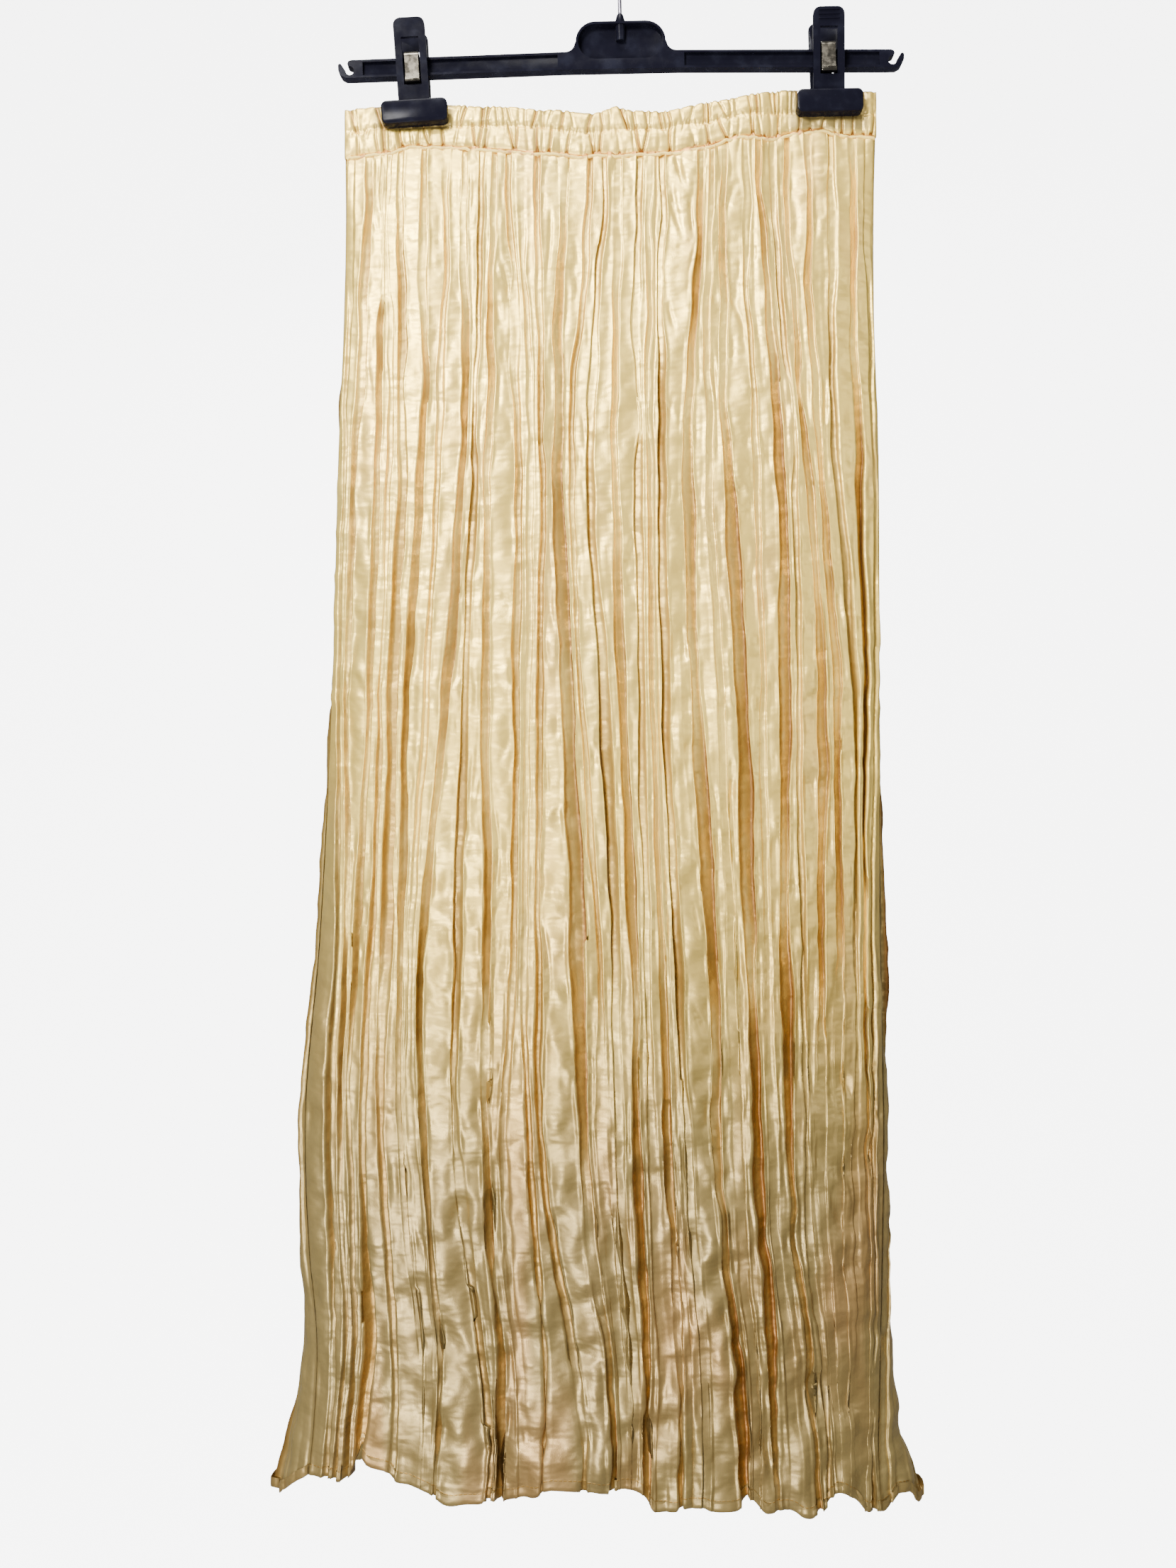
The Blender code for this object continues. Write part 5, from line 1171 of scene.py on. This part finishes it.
def make_seam_thread(side, thread):
    """The overlocked waist seam that peeps out under the casing: a wavy tube along it."""
    x = np.linspace(BAND_ENDS[0] + 1.5, BAND_ENDS[1] - 1.5, 900)
    wave = 0.75 * crinkle(x, 0 * x, 4.7, 1.0, 61) + 0.25 * crinkle(x, 0 * x, 1.9, 1.0, 63)
    facing = -1 if side == "front" else 1
    y = BAND_SLIT + bow(x) + 2.5 + 0.5 * crinkle(x, 0 * x, 3.1, 1.0, 62)
    y = y * thinned_at_ends(x, 0.5)
    path = np.stack([x, facing * y, band_height(x, "seam") - SEAM_ROPE_DROP + wave], axis=-1)
    piece = tube("waist_seam_" + side, path, SEAM_ROPE_RADIUS, 8, thread)
    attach(piece, "root")


def tube(name, path, radius, sides, finish):
    """A round tube along a path: rings square to its heading, closed at both ends by a flat."""
    heading = np.gradient(path, axis=0)
    heading /= np.linalg.norm(heading, axis=1)[:, None]
    side = np.cross(heading, (0.0, 1.0, 0.0))
    side /= np.linalg.norm(side, axis=1)[:, None]
    up = np.cross(side, heading)
    turn = np.linspace(0, 2 * math.pi, sides, endpoint=False)[:, None, None]
    rings = path[None] + radius * (np.cos(turn) * side[None] + np.sin(turn) * up[None])
    faces = grid_faces(sides, len(path), wrap_rows=True)[:, [0, 3, 2, 1]]
    piece = add_mesh(name, rings, faces, finish)
    shape = bmesh.new()
    shape.from_mesh(piece.data)
    bmesh.ops.holes_fill(shape, edges=[e for e in shape.edges if e.is_boundary], sides=0)
    bmesh.ops.recalc_face_normals(shape, faces=shape.faces)
    shape.to_mesh(piece.data)
    shape.free()
    return piece


# ------------------------------------------------------------------ hanger
def softened(node, name, width, finish):
    """A copy of a hanger part with its loose triangles joined and its edges rounded."""
    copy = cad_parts[node].data.copy()
    copy.name = name
    shape = bmesh.new()
    shape.from_mesh(copy)
    bmesh.ops.remove_doubles(shape, verts=shape.verts, dist=0.00002)
    bmesh.ops.dissolve_limit(shape, angle_limit=math.radians(1.0), verts=shape.verts, edges=shape.edges)
    for face in shape.faces:
        face.smooth = True
    shape.to_mesh(copy)
    shape.free()
    copy.materials.clear()
    copy.materials.append(finish)
    copy.set_sharp_from_angle(angle=math.radians(50))
    piece = bpy.data.objects.new(name, copy)
    bpy.context.scene.collection.objects.link(piece)
    bevel = piece.modifiers.new("rounding", "BEVEL")
    bevel.width = width * MM
    bevel.segments = 3
    bevel.limit_method = "ANGLE"
    bevel.angle_limit = math.radians(28)
    bevel.harden_normals = False
    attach(piece, "root")
    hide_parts(node)
    return piece


def make_hook(metal):
    """The wire: round the crown from its tip, a reverse bend, then straight down to the boss."""
    reach = HOOK_INSIDE + WIRE_RADIUS
    turns = np.radians(np.linspace(*HOOK_TURN, 90))
    crown = np.stack([reach * np.cos(turns), -HOOK_INSIDE + reach * np.sin(turns)], axis=1)
    heading = math.radians(HOOK_TURN[1] + 90 - 360)
    bend = -crown[-1, 0] / (1 + math.sin(heading))
    turned = np.linspace(heading, -math.pi / 2, 24)[1:]
    neck = crown[-1] + bend * np.stack([math.sin(heading) - np.sin(turned),
                                        np.cos(turned) - math.cos(heading)], axis=1)
    stem = np.array([[0.0, z] for z in np.linspace(neck[-1, 1], BOSS_TOP + SEAM_GAP, 8)[1:]])
    flat = np.concatenate([crown, neck, stem])
    tilt = math.radians(HANGER_TILT)
    x = flat[:, 0] * math.cos(tilt) - flat[:, 1] * math.sin(tilt)
    z = flat[:, 0] * math.sin(tilt) + flat[:, 1] * math.cos(tilt)
    hook = tube("hook_wire", np.stack([x, 0 * x, z], axis=1), WIRE_RADIUS, 24, metal)
    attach(hook, "root")
    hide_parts("hanger_hook")


def make_hanger(plastic, spring, wire):
    """The bar and both clips from their CAD parts, and the hook."""
    softened("hanger_bar", "bar_moulding", EDGE_ROUND["hanger_bar"], plastic)
    for hand in ("left", "right"):
        for part in ("front", "back"):
            name = f"clip_moulding_{hand}_{part}"
            softened(f"clip_{hand}_{part}", name, EDGE_ROUND["clip"], plastic)
        leaf = softened(f"clip_{hand}_spring", f"clip_leaf_{hand}", EDGE_ROUND["spring"], spring)
    make_hook(wire)


# ------------------------------------------------------------------ finishes
PATCH_INPUTS = (
    ("Coordinates", "Vector"), ("Stretch", "Vector"), ("Scale", "Float"), ("Detail", "Float"),
    ("From", "Float"), ("To", "Float"), ("Least", "Float"), ("Most", "Float"),
)


def make_patch_group():
    """The patchy pattern that every finish of the part uses: noise on stretched coordinates, as
    a plain height, and as an amount eased from the least to the most between two heights."""
    group = bpy.data.node_groups.new("patches", "ShaderNodeTree")
    for name, kind in PATCH_INPUTS:
        group.interface.new_socket(name, in_out="INPUT", socket_type="NodeSocket" + kind)
    for name in ("Height", "Amount"):
        group.interface.new_socket(name, in_out="OUTPUT", socket_type="NodeSocketFloat")
    given = group.nodes.new("NodeGroupInput").outputs
    result = group.nodes.new("NodeGroupOutput").inputs
    mapping = group.nodes.new("ShaderNodeMapping")
    noise = group.nodes.new("ShaderNodeTexNoise")
    eased = group.nodes.new("ShaderNodeMapRange")
    eased.interpolation_type = "SMOOTHSTEP"
    for source, target in (
        (given["Coordinates"], mapping.inputs["Vector"]),
        (given["Stretch"], mapping.inputs["Scale"]),
        (mapping.outputs["Vector"], noise.inputs["Vector"]),
        (given["Scale"], noise.inputs["Scale"]),
        (given["Detail"], noise.inputs["Detail"]),
        (noise.outputs["Fac"], eased.inputs["Value"]),
        (given["From"], eased.inputs["From Min"]),
        (given["To"], eased.inputs["From Max"]),
        (given["Least"], eased.inputs["To Min"]),
        (given["Most"], eased.inputs["To Max"]),
        (noise.outputs["Fac"], result["Height"]),
        (eased.outputs["Result"], result["Amount"]),
    ):
        group.links.new(source, target)
    return group


class Finish:
    """A material under construction, with the nodes that this part's finishes are made of."""

    def __init__(self, name):
        self.material = bpy.data.materials.new(name)
        self.material.use_nodes = True
        self.tree = self.material.node_tree
        self.shader = self.tree.nodes["Principled BSDF"]

    def node(self, kind):
        """A new shader node, named by the last part of its type."""
        return self.tree.nodes.new("ShaderNode" + kind)

    def feed(self, inputs, values):
        """Gives each named or numbered input its socket or plain value."""
        for key, value in values.items():
            if isinstance(value, bpy.types.NodeSocket):
                self.tree.links.new(value, inputs[key])
            else:
                inputs[key].default_value = value

    def shade(self, values):
        """Gives the shader its inputs, and hands back the finished material."""
        self.feed(self.shader.inputs, values)
        return self.material

    def coordinates(self):
        """The place of a point in its own piece, in metres."""
        return self.node("TexCoord").outputs["Object"]

    def part_of(self, vector, axis):
        """One of a vector's three numbers."""
        split = self.node("SeparateXYZ")
        self.feed(split.inputs, {0: vector})
        return split.outputs[axis]

    def attribute(self, name):
        """A mark that the piece's points carry."""
        node = self.node("Attribute")
        node.attribute_name = name
        return node.outputs["Fac"]

    def maths(self, operation, first, second=0.0):
        """The result of one operation on one or two values."""
        node = self.node("Math")
        node.operation = operation
        self.feed(node.inputs, {0: first, 1: second})
        return node.outputs[0]

    def mix(self, amount, first, second):
        """A colour between two, by an amount from 0 to 1."""
        node = self.node("Mix")
        node.data_type = "RGBA"
        self.feed(node.inputs, {0: amount, 6: first, 7: second})
        return node.outputs[2]

    def curve(self, value, low, high, least=0.0, most=1.0):
        """A value carried from one range to another, eased and kept inside it."""
        node = self.node("MapRange")
        node.interpolation_type = "SMOOTHSTEP"
        limits = {"From Min": low, "From Max": high, "To Min": least, "To Max": most}
        self.feed(node.inputs, {"Value": value, **limits})
        return node.outputs["Result"]

    def patches(self, scale, detail=2.0, stretch=(1.0, 1.0, 1.0), between=(0.0, 1.0), give=(0.0, 1.0)):
        """The shared patchy pattern with this finish's own values: its Height and Amount."""
        node = self.node("Group")
        node.node_tree = PATCHES
        values = (self.coordinates(), stretch, scale, detail, *between, *give)
        self.feed(node.inputs, dict(zip([name for name, _ in PATCH_INPUTS], values)))
        return node.outputs

    def dent(self, height, strength, distance, under=None):
        """A bump laid on top of the one under it."""
        node = self.node("Bump")
        self.feed(node.inputs, {"Height": height, "Strength": strength, "Distance": distance})
        if under is not None:
            self.feed(node.inputs, {"Normal": under})
        return node.outputs["Normal"]


def satin_finish():
    """Cream satin: ivory above, with faint green and peach patches, a fine weave and soft crush marks.
    Shade is painted into its colour: golden brown lower down, olive where the cloth turns aside, warm in
    the folds, dark brown in the clefts and coral along the seams."""
    satin = Finish("satin")
    green = satin.patches(9.0, between=(0.55, 0.75), give=(0.0, 0.32))
    peach = satin.patches(14.0, stretch=(2.5, 1.0, 0.6), between=(0.52, 0.72), give=(0.0, 0.40))
    lower_shade_patches = satin.patches(11.0, stretch=(2.2, 1.0, 0.5), between=(0.44, 0.62))
    colour = satin.mix(green["Amount"], IVORY, PALE_GREEN)
    colour = satin.mix(peach["Amount"], colour, PEACH)
    # painted shade: darker and more golden lower down, as the light falls off towards the hem
    lower_shade = satin.mix(lower_shade_patches["Amount"], LOWER_SHADE_HONEY, LOWER_SHADE_AMBER)
    height = satin.part_of(satin.coordinates(), "Z")
    colour = satin.mix(satin.curve(height, *LOWER_SHADE_HEIGHTS, 0.0, 0.85), colour, lower_shade)
    # painted shade on cloth turned aside, in the turned hem and under the jaws
    colour = satin.mix(satin.attribute("shade"), colour, SHADE_OLIVE)
    # painted shade in the folds, the gather troughs and inside the casing, by their depth
    colour = satin.mix(satin.curve(satin.attribute("hollow_shade"), 0.1, 1.0, 0.0, 0.75), colour, RECESS_SHADE)
    # painted shade, dark brown, in the folds' undercut corners, the creases, the gathers and the seam
    # knots
    colour = satin.mix(satin.curve(satin.attribute("cleft_shade"), 0.1, 0.8, 0.0, 0.9), colour, CLEFT_SHADE)
    # painted shade, coral, along the waist seam, the casing's lower edge, the knots and the side seams
    colour = satin.mix(satin.curve(satin.attribute("seam"), 0.2, 1.0, 0.0, 0.8), colour, SEAM_SHADE_CORAL)
    stitches = hem_stitches(satin)
    dimples = satin.patches(60.0, 1.0, (0.8, 1.0, 1.4))["Height"]
    pits = satin.patches(150.0, 1.0, (0.7, 1.0, 1.3))["Height"]
    weave = satin.patches(2600.0, 1.0, (1.0, 1.0, 0.4))["Height"]
    normal = satin.dent(dimples, 0.35, 0.005)
    normal = satin.dent(pits, 0.35, 0.0022, normal)
    normal = satin.dent(weave, 0.25, 0.0002, normal)
    return satin.shade({
        # the hem's stitches take the folds' painted shade colour
        "Base Color": satin.mix(stitches, colour, RECESS_SHADE),
        "Roughness": satin.patches(60.0, between=(0.3, 0.7), give=(0.38, 0.48))["Amount"],
        "Specular IOR Level": 0.7,
        "Metallic": 0.70,
        "Normal": satin.dent(stitches, 0.5, 0.0004, normal),
    })


def hem_stitches(satin):
    """Short stitches in a row: on where the height above the hem is the turn's and the length
    along it, counted in stitches, has a fraction under two thirds."""
    place = satin.node("UVMap")
    place.uv_map = "cloth"
    above_row = satin.maths("SUBTRACT", satin.part_of(place.outputs["UV"], "Y"), HEM_TURN * MM)
    on_row = satin.curve(satin.maths("ABSOLUTE", above_row), 0.0004, 0.0002)
    counted = satin.maths("DIVIDE", satin.part_of(place.outputs["UV"], "X"), HEM_STITCH * MM)
    on_stitch = satin.curve(satin.maths("FRACT", counted), 0.72, 0.62)
    return satin.maths("MULTIPLY", on_row, on_stitch)


def thread_finish():
    """The waist seam's rope: ivory with patches of peach thread."""
    thread = Finish("seam_thread")
    thread_patches = thread.patches(220.0, between=(0.54, 0.70))["Amount"]
    twist = thread.patches(2200.0)["Height"]
    return thread.shade({
        "Base Color": thread.mix(thread_patches, IVORY, PEACH_SHADE),
        "Roughness": 0.6,
        "Normal": thread.dent(twist, 0.5, 0.0003),
    })


def plastic_finish():
    """Glossy blue-black moulded plastic with a slight ripple and fine scuffs."""
    plastic = Finish("plastic")
    wear = plastic.patches(90.0, 4.0, between=(0.45, 0.75))["Amount"]
    ripple = plastic.patches(70.0)["Height"]
    return plastic.shade({
        "Base Color": plastic.mix(wear, NAVY_BLACK, NAVY_WORN),
        "Roughness": plastic.patches(160.0, 4.0, between=(0.35, 0.7), give=(0.19, 0.29))["Amount"],
        "Specular IOR Level": 0.15,
        "IOR": 1.25,
        "Normal": plastic.dent(ripple, 0.12, 0.0008),
    })


def metal_finish(name, colour, smoothest):
    """Bare metal, in patches a little rougher than its smoothest."""
    metal = Finish(name)
    rough = metal.patches(300.0, 3.0, between=(0.3, 0.7), give=(smoothest, smoothest + 0.14))
    return metal.shade({"Base Color": colour, "Metallic": 1.0, "Roughness": rough["Amount"]})


def stage_finish(name, glow):
    """Plain white for the wall, which glows, and for the floor."""
    return Finish(name).shade({
        "Base Color": WALL_WHITE,
        "Roughness": 0.9,
        "Emission Color": WALL_WHITE,
        "Emission Strength": glow,
    })


# ------------------------------------------------------------------ camera, lights and room
CAMERA_DISTANCE = 0.920
CAMERA_AIM = (-0.01847, -0.5368)
LENS = 34.2
SENSOR = 36.0
WALL_Y = 2.2
WALL_TOP = 3.0
FLOOR_Z = -2.35
FLOOR_FRONT = -4.0
ROOM_HALF = 5.0
SKY_STRENGTH = 0.19
WARM = (1.0, 0.985, 0.96)
WHITE = (1.0, 1.0, 1.0)
# Lamps: name, place, aim, size, watts and colour.
LAMPS = (
    ("key", (-0.55, -1.05, 0.25), (0, 0, -0.35), (0.35, 0.35), 33, WARM),
    ("low", (-0.40, -1.10, -0.95), (0, 0, -0.80), (0.35, 0.40), 18, WARM),
    ("above", (-0.15, -0.62, 0.9), (0, 0, -0.40), (0.7, 0.35), 24, WARM),
    ("right_fill", (1.1, -0.9, -0.2), (0, 0, -0.45), (0.4, 0.8), 4, WHITE),
    ("behind", (-0.4, 1.5, 1.2), (0, 0, -0.5), (0.5, 0.5), 70, WHITE),
)


def make_camera():
    """The camera, level and square to the hanger as in the photo."""
    data = bpy.data.cameras.new("camera")
    data.sensor_fit = "VERTICAL"
    data.sensor_height = SENSOR
    data.lens = LENS
    camera = bpy.data.objects.new("camera", data)
    camera.location = (CAMERA_AIM[0], -CAMERA_DISTANCE, CAMERA_AIM[1])
    camera.rotation_euler = (math.radians(90), 0, 0)
    bpy.context.scene.collection.objects.link(camera)
    bpy.context.scene.camera = camera


def area_lamp(name, place, aim, size, watts, colour):
    """A rectangular lamp turned towards its aim."""
    data = bpy.data.lights.new(name, "AREA")
    data.shape = "RECTANGLE"
    data.size, data.size_y = size
    data.energy = watts
    data.color = colour
    lamp = bpy.data.objects.new(name, data)
    lamp.location = place
    x, y, z = np.array(aim) - np.array(place)
    lamp.rotation_euler = (math.atan2(math.hypot(x, y), -z), 0, math.atan2(y, x) - math.pi / 2)
    bpy.context.scene.collection.objects.link(lamp)


def make_room():
    """A glowing wall behind, a plain floor below, a dim even light and the lamps."""
    left, right = -ROOM_HALF, ROOM_HALF
    foot = [(left, WALL_Y, FLOOR_Z), (right, WALL_Y, FLOOR_Z)]
    wall = foot + [(right, WALL_Y, WALL_TOP), (left, WALL_Y, WALL_TOP)]
    floor = [(left, FLOOR_FRONT, FLOOR_Z), (right, FLOOR_FRONT, FLOOR_Z)] + foot[::-1]
    for name, corners, glow in (("wall", wall, WALL_GLOW), ("floor", floor, 0.0)):
        plain = stage_finish("backdrop_" + name, glow)
        piece = add_mesh(name, np.array(corners) / MM, [(0, 1, 2, 3)], plain, smooth=False)
        piece.visible_glossy = False
    world = bpy.data.worlds.new("studio")
    world.use_nodes = True
    sky = world.node_tree.nodes["Background"].inputs
    sky["Color"].default_value = (*WHITE, 1.0)
    sky["Strength"].default_value = SKY_STRENGTH
    bpy.context.scene.world = world
    for lamp in LAMPS:
        area_lamp(*lamp)


# ------------------------------------------------------------------ build
PATCHES = make_patch_group()
make_camera()
satin = satin_finish()
make_skirt(satin)
make_band("front", satin, UPPER_CREASES, LOWER_CREASES, SEAM_KNOTS, 51)
mirrored = [[(MIRROR - head, MIRROR - foot, deep, half) for head, foot, deep, half in table]
            for table in (UPPER_CREASES, LOWER_CREASES)]
make_band("back", satin, *mirrored, [MIRROR - at for at in SEAM_KNOTS], 52)
thread = thread_finish()
make_seam_thread("front", thread)
make_seam_thread("back", thread)
make_hanger(plastic_finish(), metal_finish("spring", SPRING_SILVER, 0.16),
            metal_finish("wire", HOOK_GREY, 0.25))
make_room()
